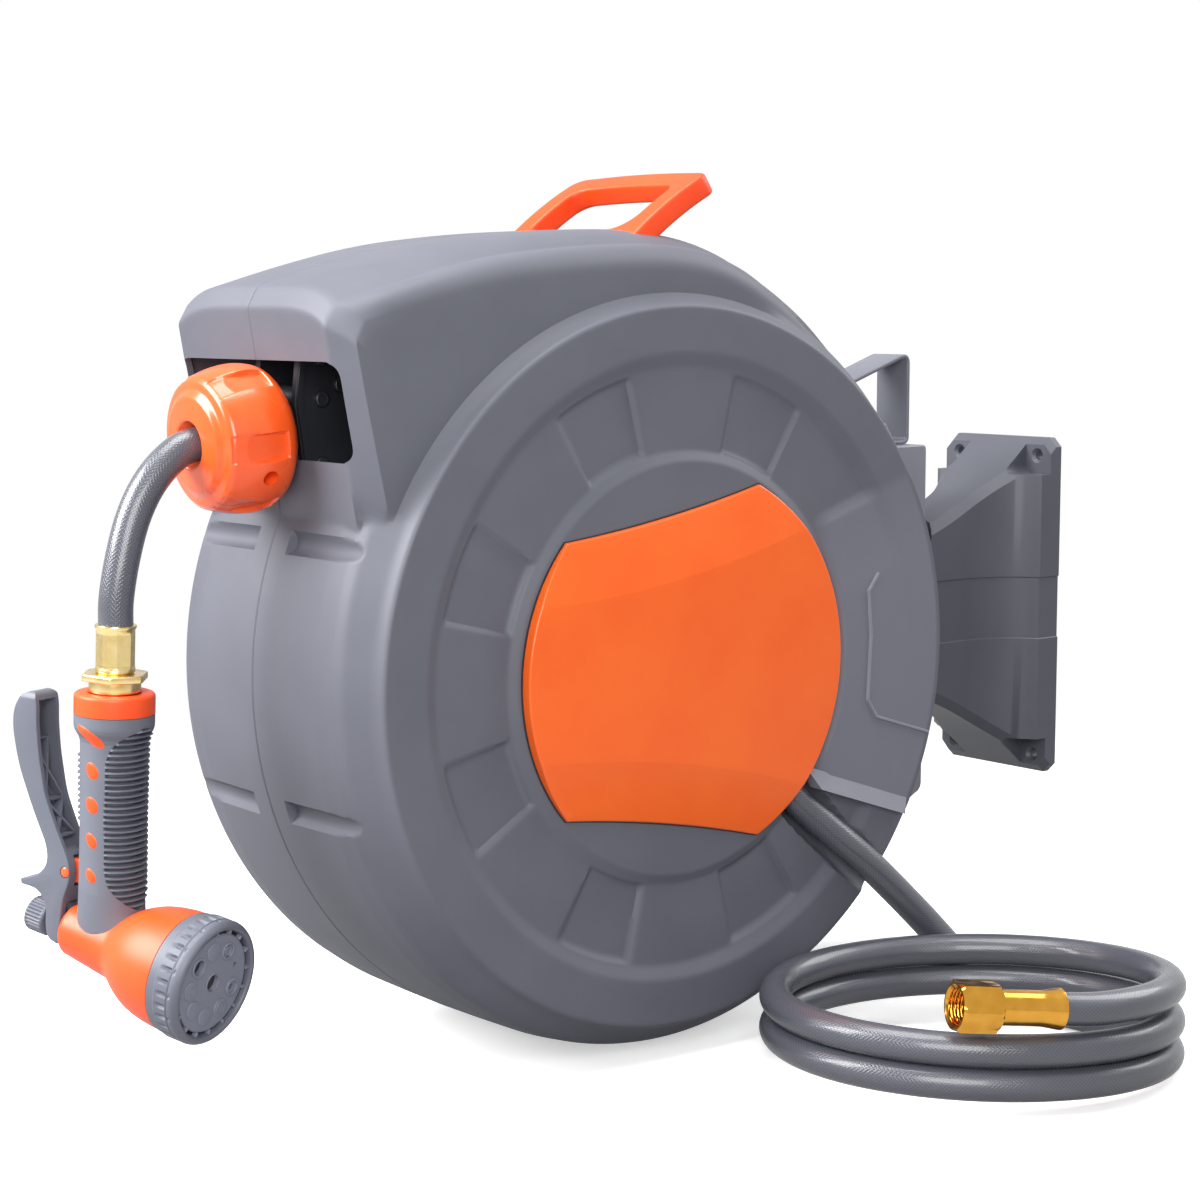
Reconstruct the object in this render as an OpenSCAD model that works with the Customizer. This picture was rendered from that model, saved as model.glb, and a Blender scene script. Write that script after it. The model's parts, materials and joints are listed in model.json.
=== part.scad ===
// Wall mounted garden hose reel with a spring rewound drum, a level-wind guide,
// a swivelling wall bracket, a spray nozzle and a coiled inlet hose.
// Millimetres, +Z up. The wall is the plane y = 0 and the origin is the centre
// of the four wall screws. The reel stands out along -Y, its drum axis along X.

/* [Case] */
// Radius of the case at its seam
case_r = 220; // [212:1:226]
// Width across the rims of the two discs
case_w = 200; // [196:1:206]
// Wall of the moulded case
wall = 3; // [2:0.25:3.5]
// Rise of the roof's crest over the round of the case
roof_rise = 25; // [20:1:32]
// Distance of the outlet face's top edge behind the foremost point of the round case
snout_back = 1; // [-7:0.5:4]
// Height of the outlet face's top edge above the drum axis
snout_top = 212; // [206:1:216]
// Inset of the roof and the outlet face from the rims
snout_side = 12; // [10:0.5:14]
// Width of the outlet face at each side of the hose opening
mouth_side = 10; // [8:0.5:18]
// Height of the hose opening
mouth_h = 52; // [48:1:56]
// Height of the hose opening's middle above the drum axis
mouth_z = 147; // [144:1:150]

/* [Disc] */
// Width of the flat rim
rim_w = 26; // [20:1:28]
// Width of the slope into the sunken ring
dish_slope = 8; // [4:1:10]
// Width of the sunken ring
dish_w = 46; // [42:1:48]
// Depth of the sunken ring below the rim
dish_depth = 4; // [3:0.5:5]
// Margin of the hub's face round the orange badge
badge_margin = 2; // [1:0.5:8]
// Thickness of the badge
badge_t = 6.5; // [4:0.5:8]
// Depth of the sector pockets
pocket_depth = 2; // [1:0.25:2.5]

/* [Wall bracket] */
// Distance from the wall to the pivot axis
pivot_to_wall = 120; // [118:1:128]
// Distance from the round case to the pivot axis
pivot_clear = 30; // [28:1:40]
// Width of the wall plate
plate_w = 94; // [90:1:100]
// Height of the wall plate
plate_h = 224; // [218:1:232]
// Thickness of the screw lugs
lug_t = 10; // [8:0.5:12]
// Spacing of the wall screws across
screw_dx = 70; // [66:1:74]
// Spacing of the wall screws up and down
screw_dz = 200; // [194:1:204]
// Diameter of the wall screw holes
screw_hole_d = 6; // [5:0.25:7]
// Height of the bracket's knuckle
knuckle_h = 96; // [88:1:104]
// Diameter of the pivot pin
pivot_d = 16; // [14:0.5:18]

/* [Handles] */
// Width of the carrying handle
handle_w = 120; // [110:1:130]
// Length of the carrying handle up its slope
handle_l = 72; // [66:1:80]
// Thickness of the carrying handle
handle_t = 13; // [11:0.5:15]
// Lean of the carrying handle
handle_slope = 34; // [30:1:36]
// Width of the pin's strap handle
strap_w = 28; // [24:1:32]
// Thickness of the strap
strap_t = 2.5; // [2:0.25:4]

/* [Drum] */
// Gap between the flanges and the round of the case
flange_gap = 35; // [34:1:40]
// Depth of the winding space, from the flanges' edges to the hub
wind_room = 110; // [107:1:113]
// Thickness of a flange
flange_t = 3.5; // [3:0.25:3.75]
// Layers of hose under the outer one
wind_layers = 4; // [3:1:4]

/* [Hose] */
// Outer diameter of the hose
hose_d = 18; // [17:0.25:18.25]
// Climb of the coil on the floor for each turn
coil_pitch = 19.4; // [19.2:0.1:20.5]
// Half length of the coil's oval
coil_a = 110; // [108:1:114]
// Half width of the coil's oval
coil_b = 88; // [86:1:90]

/* [Stopper] */
// Diameter of the stopper
stop_d = 80; // [72:1:84]
// Length of the stopper
stop_l = 48; // [46:1:50]

/* [Nozzle] */
// Radius of the grip
grip_r = 17; // [16:0.5:18]
// Length of the grip
grip_l = 112; // [110:1:116]
// Radius of the barrel
barrel_r = 15; // [14:0.5:16]
// Tilt of the barrel from square to the grip
barrel_tilt = 8.3; // [7.3:0.5:9.3]
// Radius of the spray dial
dial_r = 33; // [31:0.5:35]
// Length of the spray dial
dial_l = 20; // [18:1:24]
// Thickness of the trigger lever
lever_w = 18; // [16:0.5:20]

/* [Inlet] */
// Width across the flats of the inlet nut
nut_af = 25; // [24:0.5:26]
// Radius of the inlet nut's thread bore
nut_bore_r = 9.3; // [9:0.1:9.8]

/* [Hidden] */
$fn = 96;

// Clearances and the overrun of every cut
over = 2;
sliver = 0.02;
run_clear = 0.05;
free_clear = 0.3;
seat_clear = 0.1;

// Colours
case_grey = "#62646f";
block_grey = "#8b8d97";
orange = "#f4621c";
stop_orange = "#ff6838";
brass = "#d1a246";
hose_grey = "#55565f";
grip_grey = "#696c78";
black = "#26272b";
steel = "#b9bcc2";
drum_grey = "#2b2c31";

// Radii and half widths that follow the case
rim_half = case_w / 2;
rim_drop = 18;
hub_bevel = 6;
hub_depth = 1;
face_x = rim_half - hub_depth;
rim_in_r = case_r - rim_drop - rim_w;
dish_r = rim_in_r - dish_slope;
hub_bevel_r = dish_r - dish_w;
badge_r = hub_bevel_r - hub_bevel - badge_margin;
roof_z = case_r + roof_rise;
snout_reach = case_r - snout_back;
snout_half = rim_half - snout_side;
mouth_w = 2 * (snout_half - mouth_side);
drum_to_pivot = case_r + pivot_clear;
flange_r = case_r - flange_gap;
hub_r = flange_r - wind_room;

// Places in the wall's frame: the drum axis lies behind the outlet and below the screws
drum_drop = 3;
drum_y = -(pivot_to_wall + drum_to_pivot);
drum_z = -drum_drop;

// Case profile, as distances in from the seam radius and out from the seam
seam_v = 0.8;
crown_in = 40;
crown_half = rim_half - crown_in;
crown_drop = 1;
shoulder_in = 20;
shoulder_half = rim_half - shoulder_in;
shoulder_drop = 4.5;
chamfer_in = 7;
chamfer_drop = 15.5;
case_profile = [
    [case_r - seam_v, 0],
    [case_r, seam_v],
    [case_r - crown_drop, crown_half],
    [case_r - shoulder_drop, shoulder_half],
    [case_r - chamfer_drop, rim_half - chamfer_in],
    [case_r - rim_drop, rim_half],
    [rim_in_r, rim_half],
    [dish_r, rim_half - dish_depth],
    [hub_bevel_r, rim_half - dish_depth],
    [hub_bevel_r - hub_bevel, face_x],
    [0, face_x],
];

// Outlet face and roof: shares of the reach and the crest height
mouth_round = 8;
mouth_back = 30;
mouth_front = 15;
front_low_z = 90;
front_chamfer_y = 6;
front_chamfer_z = 11;
snout_low_z = 60;
roof_shares = [
    [-0.775, 0.916], [-0.556, 0.963], [-0.273, 0.992], [0, 1], [0.182, 0.98],
    [0.365, 0.906], [0.5, 0.829], [0.615, 0.735], [0.684, 0.657],
];
snout_low_shares = [0.5, -0.65];
// Stations across the roof and how far it falls there
roof_fall = 26;
roof_station_shares = [0, 0.7, 0.91, 1];
roof_fall_shares = [0, 0.23, 0.54, 1];

// Hand troughs round the front of the case
trough_r = 9;
trough_out = 2;
trough_in_x = 16;
trough_end_in = 2;
trough_out_x = snout_half - trough_end_in;
trough_angles = [20.5, -18];

// Sector pockets in the sunken ring, three each side of level
pocket_in = 1;
pocket_angle = 18.5;
pocket_step = 45;
pocket_first = 22.5;

// Screw posts that join the halves
post_r = 6;
post_in = 15;
post_angles = [-38, -78, -118, 152];
post_hole_r = 2.2;
head_r = 3.8;
head_t = 3;
head_x = 42;
screw_reach = 24;

// Badge outline: corners as shares of its radius, with slightly hollow long edges
badge_front_shares = [-0.745, 0.66];
badge_back_shares = [0.44, 0.876];
badge_edge_r = 900;

// Trough for the inlet hose, which runs out from the hub at this angle below level
inlet_angle = 43.5;
inlet_slope = 10;
channel_r = 15;
channel_in = 13;
channel_x = face_x - channel_in;
channel_from = 70;
channel_liner_from = 88;
channel_run = 5;
channel_to = case_r + channel_run;

// Pivot: case block, pin and strap
block_half = 26;
block_rear = 22;
block_chamfer = 8;
block_top = 128;
block_seat = 113;
block_low = -124;
block_gap = 0.5;
slot_gap = 24;
pivot_r = pivot_d / 2;
knuckle_r = 22;
knuckle_relief = 11;
strap_rise = 59.5;
strap_back = 11;
strap_foot = 12;
strap_slope = 0.351;
strap_run = 100;
strap_bend = 2;

// Wall bracket: neck, flare and the curve over the top and bottom
neck_half = 22;
flare_r = 50;
flare_back = 62;
sweep_r = 250;
sweep_front_y = -111;
sweep_front_z = 52;
sweep_back_y = -5;
pocket_w = 22;
pocket_h = 24;
band_z = 20;
band_groove = 0.8;

// Drum and its drive
wind_pitch = 18.75;
loop_rings = 24;
drive_room = 34;
wind_turns = floor((rim_half - drive_room) * 2 / wind_pitch);
wind_half = wind_turns * wind_pitch / 2;
hub_wall = 4;
web_t = 5;
web_in = 10;
bush_r = 14;
axle_r = 10;
flange_lip = 13;
flange_bore_r = hub_r - flange_lip;
flange_x = wind_half + flange_t;
layer_step = 18;
core_r = hub_r + wind_layers * layer_step;
wind_r = (core_r + hose_d / 2 + free_clear) / cos(180 / loop_rings);
screw_back = 51;
screw_y = screw_back - snout_reach;
screw_z = 108;
drum_to_screw = norm([screw_y, screw_z]);
train_teeth = 66.575;
tooth_m = drum_to_screw / train_teeth;
tooth_root_share = 1.25;
tooth_tip_share = 0.9;
tooth_root_half_share = 0.3;
tooth_tip_half_share = 0.1;
drum_teeth = 30;
idler_teeth = 45;
screw_teeth = 16;
gear_t = 6.5;
gear_x = flange_x + gear_t;
gear_gap = 0.5;
screw_r = 7;
journal_r = 4;
journal_l = 10;
idler_r = 5;
ratchet_r = 70;
ratchet_root_r = 62;
ratchet_teeth = 18;
ratchet_t = 4.5;
ratchet_x = gear_x + ratchet_t;
pawl_angle = -100;
pawl_pivot_r = 92;
pawl_pin_r = 4;
pawl_boss_r = 8;
pawl_half = 6;
pawl_lead = 19;
pawl_gap = 1.5;
arbor_flange_r = 22;
arbor_flange_t = 4;
arbor_end = 8;
spring_turns = 7;
spring_rings = 20;
spring_t = 1.5;
spring_gap = 4;
spring_room = 13.6;
spring_w = wind_half - web_in - spring_room - arbor_end - 1.5 * spring_gap;
elbow_r = 13;
elbow_in = 28;
elbow_x0 = face_x - elbow_in;
spigot_in = 15.6;
spigot_end = wind_half - web_in - spigot_in;
elbow_line_in = 15;
elbow_line_x = face_x - elbow_line_in;
branch_from = 8;
branch_to = 48;
branch_r = 10;
boss_r = 9;
boss_t = 9;

// Level-wind guide
guide_x = 0;
guide_half = 17;
plate_t = 4;
rail_r = 5;
rail_back = 41;
rail_y = rail_back - snout_reach;
rail_z = 178;
roller_r = 7.5;
roller_back = 31;
roller_y = roller_back - snout_reach;
roller_pin_r = 3;
guide_h = 89;
guide_back = 23;
guide_low_z = 99;
guide_at = [guide_back - snout_reach, guide_low_z];
guide_side_shares = [[0, 0], [0.393, 0.045], [0.438, 0.236], [0.427, 1], [-0.045, 1], [-0.09, 0.573]];
bar_low_shares = [[0, 0], [0.067, 0], [0.067, 0.056], [0, 0.056]];
bar_high_shares = [[0.371, 0.685], [0.427, 0.685], [0.427, 1], [0.371, 1]];

// Hose line through the guide and the stopper
stop_back = 11;
stop_y = stop_back - snout_reach;
stop_z = 133.5;
stop_tilt = 5;
hose_r = hose_d / 2;
function hose_line_z(y) = stop_z + (y - stop_y) * tan(stop_tilt);
lead_route = [
    [0, -172, 136.7], [0, -208, 133.5], [0, -252, 129.7], [0, -266, 123.5], [0.3, -279, 111],
    [0.8, -289, 94], [1, -295.8, 73], [0.6, -299.8, 52], [0, -300, 39],
];
stop_shares = [[0.75, 0], [0.94, 0.12], [1, 0.36], [0.98, 0.58], [0.74, 0.92], [0.5, 1]];
stop_hole_r = 13;
stop_hole_l = 7;
stop_pocket = [12, 26];
stop_pocket_deep = 2;
stop_pocket_count = 6;
stop_screw_r = 2.5;
stop_screw_off = 27;
stop_screw_l = 18;

// Nozzle: hangs from the lead, turned about the vertical
nozzle_y = -300;
nozzle_yaw = 22;
nozzle_lean = 2.7;
lead_end_z = 39;
ferrule_l = 25;
ferrule_r = 10;
flange_hex_r = 18;
flange_hex_t = 4;
neck_r = 13.5;
neck_l = 16;
collar_r = 20.8;
collar_l = 11;
collar_top = 4;
pipe_r = 11;
grip_top = collar_top - collar_l;
grip_ring_l = 6.5;
grip_low = grip_top - grip_l;
barrel_drop = 10;
barrel_z = grip_low - barrel_drop;
barrel_back = -26;
barrel_front = 50;
barrel_round = 3;
bell_shares = [[1.3, 0.2], [1.47, 0.27], [1.78, 0.39], [2.02, 0.54], [2.13, 0.68], [2.2, 0.86], [2.2, 1]];
dot_r = 5;
dot_step = 17.5;
dot_first = 14.5;
dot_count = 5;
dot_proud = 0.6;
face_in = 3;
spray_hole_r = 3;
spray_ring_r = 18;
spray_holes = 9;
lever_pin_a = -24.4;
lever_pin_z = -93.7;
lever_pin_r = 3;
tongue_t = 6;
tongue_r = 6.5;
tongue_room = 8.2;
fork_half = 5.5;
fork_z = -110.6;
lever_l = 134;
lever_out_shares = [
    [-0.344, -0.017], [-0.374, -0.005], [-0.419, -0.024], [-0.453, -0.082], [-0.457, -0.156],
    [-0.428, -0.297], [-0.348, -0.474], [-0.279, -0.604], [-0.272, -0.678], [-0.32, -0.731],
    [-0.411, -0.767], [-0.39, -0.78], [-0.308, -0.781], [-0.274, -0.845], [-0.281, -0.907],
    [-0.272, -0.975], [-0.212, -0.996],
];
lever_in_shares = [
    [-0.204, -0.914], [-0.191, -0.809], [-0.159, -0.731], [-0.159, -0.671], [-0.19, -0.607],
    [-0.238, -0.519], [-0.288, -0.41], [-0.322, -0.247], [-0.334, -0.135], [-0.335, -0.061],
];
stem_r = 4;
stem_l = 26;
knob_r = 9.5;
knob_l = 13;
knob_gap = 14;

// Inlet hose: its coil lies level with the foot of the case
floor_drop = 222;
coil_x = 211;
coil_y = 115;
coil_turn = 51.5;
coil_from = 62;
coil_sweep = 827;
coil_steps = 55;
tail_toe = 16;
tail_rise = 6;
inlet_ferrule_l = 37;
inlet_ferrule_r = 9.5;
inlet_flare_r = 11;
inlet_flare_l = 3;
nut_l = 24;
nut_skirt_l = 12;
drop_route = [
    [84, 48], [84, 66], [86, 90], [89, 114], [98, 150], [109, 185],
];
drop_free = [[118, 172, -165], [131, 197, -196], [152, 208, -211]];

// Vector and profile helpers
function unit(v) = v / norm(v);
function polar(r, a) = [r * cos(a), r * sin(a)];
function from_front(r, a) = [-r * cos(a), r * sin(a)];

// Moves a shape from the drum's frame to the wall's frame
module at_drum() {
    translate([0, drum_y, drum_z]) children();
}

// Round bar along X between two stations
module x_rod(r, x0, x1) {
    translate([x0, 0, 0]) rotate([0, 90, 0]) cylinder(r = r, h = x1 - x0);
}

// Ring about X
module x_ring(r0, r1, x0, x1) {
    difference() {
        x_rod(r1, x0, x1);
        x_rod(r0, x0 - over, x1 + over);
    }
}

// Outline in (y, z) drawn out along X
module side_prism(pts, x0, x1) {
    translate([x0, 0, 0]) rotate([90, 0, 90]) linear_extrude(x1 - x0) polygon(pts);
}

// Box from its low corner to its high corner
module box(low, high) {
    translate(low) cube(high - low);
}

// Round bar along Z from z0 to z1
module z_rod(r, z0, z1) {
    translate([0, 0, z0]) cylinder(r = r, h = z1 - z0);
}

// Tube swept along points: a ring of corners at each point, joined by triangles
function route_dir(p, i) = unit(p[min(i + 1, len(p) - 1)] - p[max(i - 1, 0)]);
function ring_at(p, i, r, ref, n) =
    let (t = route_dir(p, i), a = unit(cross(ref, t)), b = cross(t, a))
    [for (k = [0 : n - 1]) p[i] + r * (cos(360 * k / n) * a + sin(360 * k / n) * b)];
module tube(p, r, ref, n) {
    last = (len(p) - 1) * n;
    polyhedron(
        points = [for (i = [0 : len(p) - 1]) each ring_at(p, i, r, ref, n)],
        faces = concat(
            [for (i = [0 : len(p) - 2]) for (k = [0 : n - 1])
                [i * n + k, (i + 1) * n + (k + 1) % n, i * n + (k + 1) % n]],
            [for (i = [0 : len(p) - 2]) for (k = [0 : n - 1])
                [i * n + k, (i + 1) * n + k, (i + 1) * n + (k + 1) % n]],
            [for (k = [1 : n - 2]) [0, k, k + 1]],
            [for (k = [1 : n - 2]) [last, last + k + 1, last + k]]
        )
    );
}
// Least distance between the skins of two stretches that are skip points apart
function self_gap(p, skip, r) =
    min([for (i = [0 : len(p) - 1 - skip]) for (j = [i + skip : len(p) - 1]) norm(p[i] - p[j])]) - 2 * r;

// Case halves

// Solid of revolution under a profile, moved in by a wall
module case_turned(inset) {
    pts = [for (p = case_profile) [max(p[0] - inset, 0), p[1] - inset]];
    rotate([0, 90, 0]) rotate_extrude() polygon(concat(pts, [[0, min(0, -inset)]]));
}

// Outline of the outlet face and roof in (y, z), fallen at the roof's edge and moved in
function snout_outline(fall, inset) = concat(
    [from_front(1, 0) * (sqrt(pow(case_r, 2) - pow(front_low_z, 2)) - inset) + [0, front_low_z]],
    [[-snout_reach + inset, snout_top - front_chamfer_z - fall / 2]],
    [[-snout_reach + front_chamfer_y + inset, snout_top - fall - inset]],
    [for (s = roof_shares) [s[0] * (snout_reach - inset), s[1] * roof_z - fall - inset]],
    [[snout_low_shares[0] * snout_reach, snout_low_z], [snout_low_shares[1] * snout_reach, snout_low_z]]
);

// Roof and outlet face of one half, lofted over stations across its width
module snout(inset) {
    half = snout_half - inset;
    hull() for (i = [0 : len(roof_station_shares) - 1])
        let (x = half * roof_station_shares[i] - (i == 0 ? inset : sliver))
        side_prism(snout_outline(roof_fall * roof_fall_shares[i], inset), x, x + sliver);
}

// Opening that the hose runs out of
module mouth() {
    w = mouth_w / 2 - mouth_round;
    h = mouth_h / 2 - mouth_round;
    translate([0, mouth_back - snout_reach, mouth_z]) rotate([90, 0, 0])
        linear_extrude(mouth_back + mouth_front) union() {
            square([2 * w, mouth_h], center = true);
            square([mouth_w, 2 * h], center = true);
            for (sx = [-1, 1]) for (sz = [-1, 1])
                translate([sx * w, sz * h]) circle(mouth_round);
        }
}

// Hand troughs, and the skin behind them
module troughs(extra) {
    for (a = trough_angles) let (p = from_front(case_r + trough_out, a))
        translate([0, p[0], p[1]]) x_rod(trough_r + extra, trough_in_x - extra, trough_out_x + extra);
}

// Pockets pressed into the sunken ring
module sector_pockets() {
    for (side = [-1, 1]) for (k = [0 : 2])
        rotate([side * (pocket_first + k * pocket_step) + 180, 0, 0]) rotate([0, 90, 0])
            rotate([0, 0, 90 - pocket_angle / 2]) rotate_extrude(angle = pocket_angle)
                translate([hub_bevel_r + pocket_in, rim_half - dish_depth - pocket_depth])
                    square([dish_r - hub_bevel_r - 2 * pocket_in, dish_depth]);
}

// Frame of the inlet hose: Y runs out from the drum axis, X away from the disc
module on_inlet() {
    rotate([-inlet_angle, 0, 0]) children();
}

// Round bar along the inlet trough
module inlet_channel(r, from, to) {
    on_inlet() translate([channel_x, channel_from, 0]) rotate([0, 0, -inlet_slope])
        rotate([-90, 0, 0]) z_rod(r, from - channel_from, to - channel_from);
}

// Posts along X for the case screws
module posts(r, x0, x1) {
    for (a = post_angles) let (p = from_front(case_r - post_in, a))
        translate([0, p[0], p[1]]) x_rod(r, x0, x1);
}

// Bosses on the inside of a disc: traverse screw journal
module screw_boss(r, x0, x1) {
    translate([0, screw_y, screw_z]) x_rod(r, x0, x1);
}

screw_end = snout_half - wall - plate_t;

// One half, on the +X side, with what stays solid behind its features
module case_half() {
    difference() {
        union() {
            case_turned(0);
            snout(0);
        }
        difference() {
            union() {
                case_turned(wall);
                snout(wall);
            }
            troughs(wall);
            posts(post_r, -over, rim_half);
            screw_boss(boss_r, screw_end + free_clear, rim_half);
            children(0);
        }
        troughs(0);
        mouth();
        sector_pockets();
        screw_boss(journal_r + run_clear, screw_end - over, screw_end + journal_l);
        children(1);
    }
}

module case_right() {
    color(case_grey) at_drum() case_half() {
        inlet_channel(channel_r + wall, channel_liner_from, channel_to);
        union() {
            inlet_channel(channel_r, channel_from, channel_to);
            posts(post_hole_r, -over, screw_reach + over);
        }
    }
}

// The left half also carries the drive's idler and the pawl
module case_left() {
    color(case_grey) at_drum() mirror([1, 0, 0]) case_half() {
        union() {
            translate([0, idler_at[0], idler_at[1]]) x_rod(boss_r, face_x - wall - boss_t, face_x);
            translate([0, pawl_at[0], pawl_at[1]])
                x_rod(pawl_boss_r, face_x - wall - boss_t, face_x);
        }
        union() {
            posts(post_hole_r + seat_clear, -over, head_x + over);
            posts(head_r + free_clear, head_x, rim_half + over);
            translate([0, idler_at[0], idler_at[1]])
                x_rod(idler_r + seat_clear, face_x - wall - boss_t - over, face_x - wall);
            translate([0, pawl_at[0], pawl_at[1]])
                x_rod(pawl_pin_r + seat_clear, face_x - wall - boss_t - over, face_x - wall);
        }
    }
}

// Badge plate: a disc with two long, slightly hollow edges
module badge_outline() {
    front = badge_r * badge_front_shares;
    back = badge_r * badge_back_shares;
    mid = (front + back) / 2;
    side = unit(back - front);
    reach = sqrt(pow(badge_edge_r, 2) - pow(norm(back - front) / 2, 2));
    difference() {
        circle(badge_r);
        for (s = [-1, 1]) let (c = mid + reach * [-side[1], side[0]])
            translate([c[0], s * c[1]]) circle(badge_edge_r, $fn = 720);
    }
}
module badge_right() {
    color(orange) at_drum() translate([face_x, 0, 0]) rotate([90, 0, 90])
        linear_extrude(badge_t) badge_outline();
}
module badge_left() {
    color(orange) at_drum() mirror([1, 0, 0]) translate([face_x, 0, 0]) rotate([90, 0, 90])
        linear_extrude(badge_t) badge_outline();
}

// Carrying handle: a sloping frame that stands on the roof
handle_leg = 14;
handle_bar = 15;
handle_lap = 13;
handle_y = -11;
handle_sink = 8;
handle_base_z = roof_z - handle_sink;
handle_round = 6;
module carry_handle() {
    color(orange) at_drum() difference() {
        translate([0, handle_y, handle_base_z]) rotate([handle_slope, 0, 0]) translate([0, 0, -handle_t])
            difference() {
                linear_extrude(handle_t) union() {
                    translate([-handle_w / 2, -handle_t])
                        square([handle_w, handle_l + handle_t - handle_round]);
                    translate([handle_round - handle_w / 2, 0])
                        square([handle_w - 2 * handle_round, handle_l]);
                    for (s = [-1, 1])
                        translate([s * (handle_w / 2 - handle_round), handle_l - handle_round])
                            circle(handle_round);
                }
                box([handle_leg - handle_w / 2, handle_lap, -over],
                    [handle_w / 2 - handle_leg, handle_l - handle_bar, handle_t + over]);
            }
        case_turned(0);
        snout(0);
        mirror([1, 0, 0]) snout(0);
    }
}

// Screws driven in from the left half
module case_screws() {
    color(steel) at_drum() {
        posts(post_hole_r - seat_clear, -head_x, screw_reach);
        posts(head_r, -head_x - head_t, -head_x);
    }
}

// Wall bracket: plate with four lugs, swept into a neck that ends in the pivot knuckle
sweep_back_z = plate_h / 2;
sweep_chord = [sweep_back_y - sweep_front_y, sweep_back_z - sweep_front_z];
sweep_centre = [sweep_back_y + sweep_front_y, sweep_back_z + sweep_front_z] / 2
    + sqrt(pow(sweep_r, 2) - pow(norm(sweep_chord) / 2, 2)) * unit([-sweep_chord[1], sweep_chord[0]]);
module wall_bracket() {
    color(case_grey) difference() {
        union() {
            difference() {
                box([-plate_w / 2, -pivot_to_wall, -plate_h / 2], [plate_w / 2, 0, plate_h / 2]);
                for (s = [-1, 1]) {
                    translate([s * (neck_half + flare_r), -flare_back, -plate_h / 2 - over])
                        cylinder(r = flare_r, h = plate_h + 2 * over);
                    translate([s * (neck_half + flare_r) - flare_r,
                        -pivot_to_wall - over, -plate_h / 2 - over])
                        cube([2 * flare_r, pivot_to_wall - flare_back + over, plate_h + 2 * over]);
                    translate([0, sweep_centre[0], s * sweep_centre[1]])
                        x_rod(sweep_r, -plate_w, plate_w);
                    translate([0, -pivot_to_wall, 0])
                        z_rod(knuckle_r + knuckle_relief, min(s * knuckle_h / 2, s * plate_h),
                            max(s * knuckle_h / 2, s * plate_h));
                    for (sx = [-1, 1])
                        translate([sx * plate_w / 2, -pivot_to_wall / 2 - lug_t, s * plate_h / 2])
                            cube([2 * pocket_w, pivot_to_wall, 2 * pocket_h], center = true);
                }
            }
            translate([0, -pivot_to_wall, 0]) z_rod(knuckle_r, -knuckle_h / 2, knuckle_h / 2);
        }
        translate([0, -pivot_to_wall, 0]) z_rod(pivot_r + run_clear, -plate_h, plate_h);
        for (sx = [-1, 1]) for (sz = [-1, 1])
            translate([sx * screw_dx / 2, over, sz * screw_dz / 2]) rotate([90, 0, 0])
                cylinder(d = screw_hole_d, h = lug_t + 2 * over);
    }
}

// Block at the back of the case that holds the pivot pin in two knuckles
module pivot_block() {
    y = drum_to_pivot;
    outline = [
        [case_r / 2, block_top], [y - slot_gap + over, block_top], [y - strap_foot, block_seat],
        [y + block_rear - block_chamfer, block_seat], [y + block_rear, block_seat - strap_foot],
        [y + block_rear, block_low + slot_gap], [y + strap_foot, block_low + strap_foot],
        [y - strap_foot, block_low], [case_r / 2, block_low],
    ];
    plan = [
        [-block_half, 0], [block_half, 0], [block_half, y + block_rear - block_chamfer],
        [block_half - block_chamfer, y + block_rear], [block_chamfer - block_half, y + block_rear],
        [-block_half, y + block_rear - block_chamfer],
    ];
    color(block_grey) at_drum() difference() {
        intersection() {
            side_prism(outline, -block_half, block_half);
            translate([0, 0, block_low - over])
                linear_extrude(block_top - block_low + 2 * over) polygon(plan);
        }
        x_rod(case_r + free_clear, -case_w, case_w);
        box([-case_w, y - slot_gap, drum_drop - knuckle_h / 2 - block_gap],
            [case_w, y + case_w, drum_drop + knuckle_h / 2 + block_gap]);
        translate([0, y, 0]) z_rod(pivot_r + run_clear, block_low - over, block_top + over);
    }
}
module pivot_pin() {
    color(steel) at_drum() translate([0, drum_to_pivot, 0])
        z_rod(pivot_r, block_low + strap_foot, block_seat);
}

// Flat strap on the pin's head: up from the seat, then forward to the back of the case
module pin_strap() {
    y1 = drum_to_pivot + strap_back;
    z1 = block_seat + strap_rise;
    outline = [
        [y1 - strap_back - strap_foot + over, block_seat], [y1, block_seat],
        [y1, z1 - strap_bend], [y1 - strap_bend, z1], [y1 - strap_run, z1 - strap_slope * strap_run],
        [y1 - strap_run, z1 - strap_slope * strap_run - strap_t],
        [y1 - 2 * strap_t, z1 - strap_t - strap_bend],
        [y1 - strap_t, z1 - 2 * strap_t], [y1 - strap_t, block_seat + strap_t],
        [y1 - strap_back - strap_foot + over, block_seat + strap_t],
    ];
    color(block_grey) at_drum() difference() {
        side_prism(outline, -strap_w / 2, strap_w / 2);
        x_rod(case_r + free_clear, -case_w, case_w);
    }
}

// Drum
module drum_hub() {
    color(drum_grey) at_drum() {
        x_ring(hub_r - hub_wall, hub_r, -wind_half, wind_half);
        for (s = [-1, 1]) translate([s * (wind_half - web_in), 0, 0])
            x_ring(bush_r + run_clear, hub_r - hub_wall, -web_t / 2, web_t / 2);
    }
}
module drum_flange_right() {
    color(drum_grey) at_drum() x_ring(flange_bore_r, flange_r, wind_half, flange_x);
}
module drum_flange_left() {
    color(drum_grey) at_drum() x_ring(bush_r + run_clear, flange_r, -flange_x, -wind_half);
}
module bushing(s) {
    color(brass) at_drum() translate([s * (wind_half - web_in), 0, 0])
        x_ring(axle_r + run_clear, bush_r, -web_t, web_t);
}
module bushing_right() {
    bushing(1);
}
module bushing_left() {
    bushing(-1);
}
module hose_core() {
    color(hose_grey) at_drum()
        x_ring(hub_r + free_clear, core_r, free_clear - wind_half, wind_half - free_clear);
}

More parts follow.
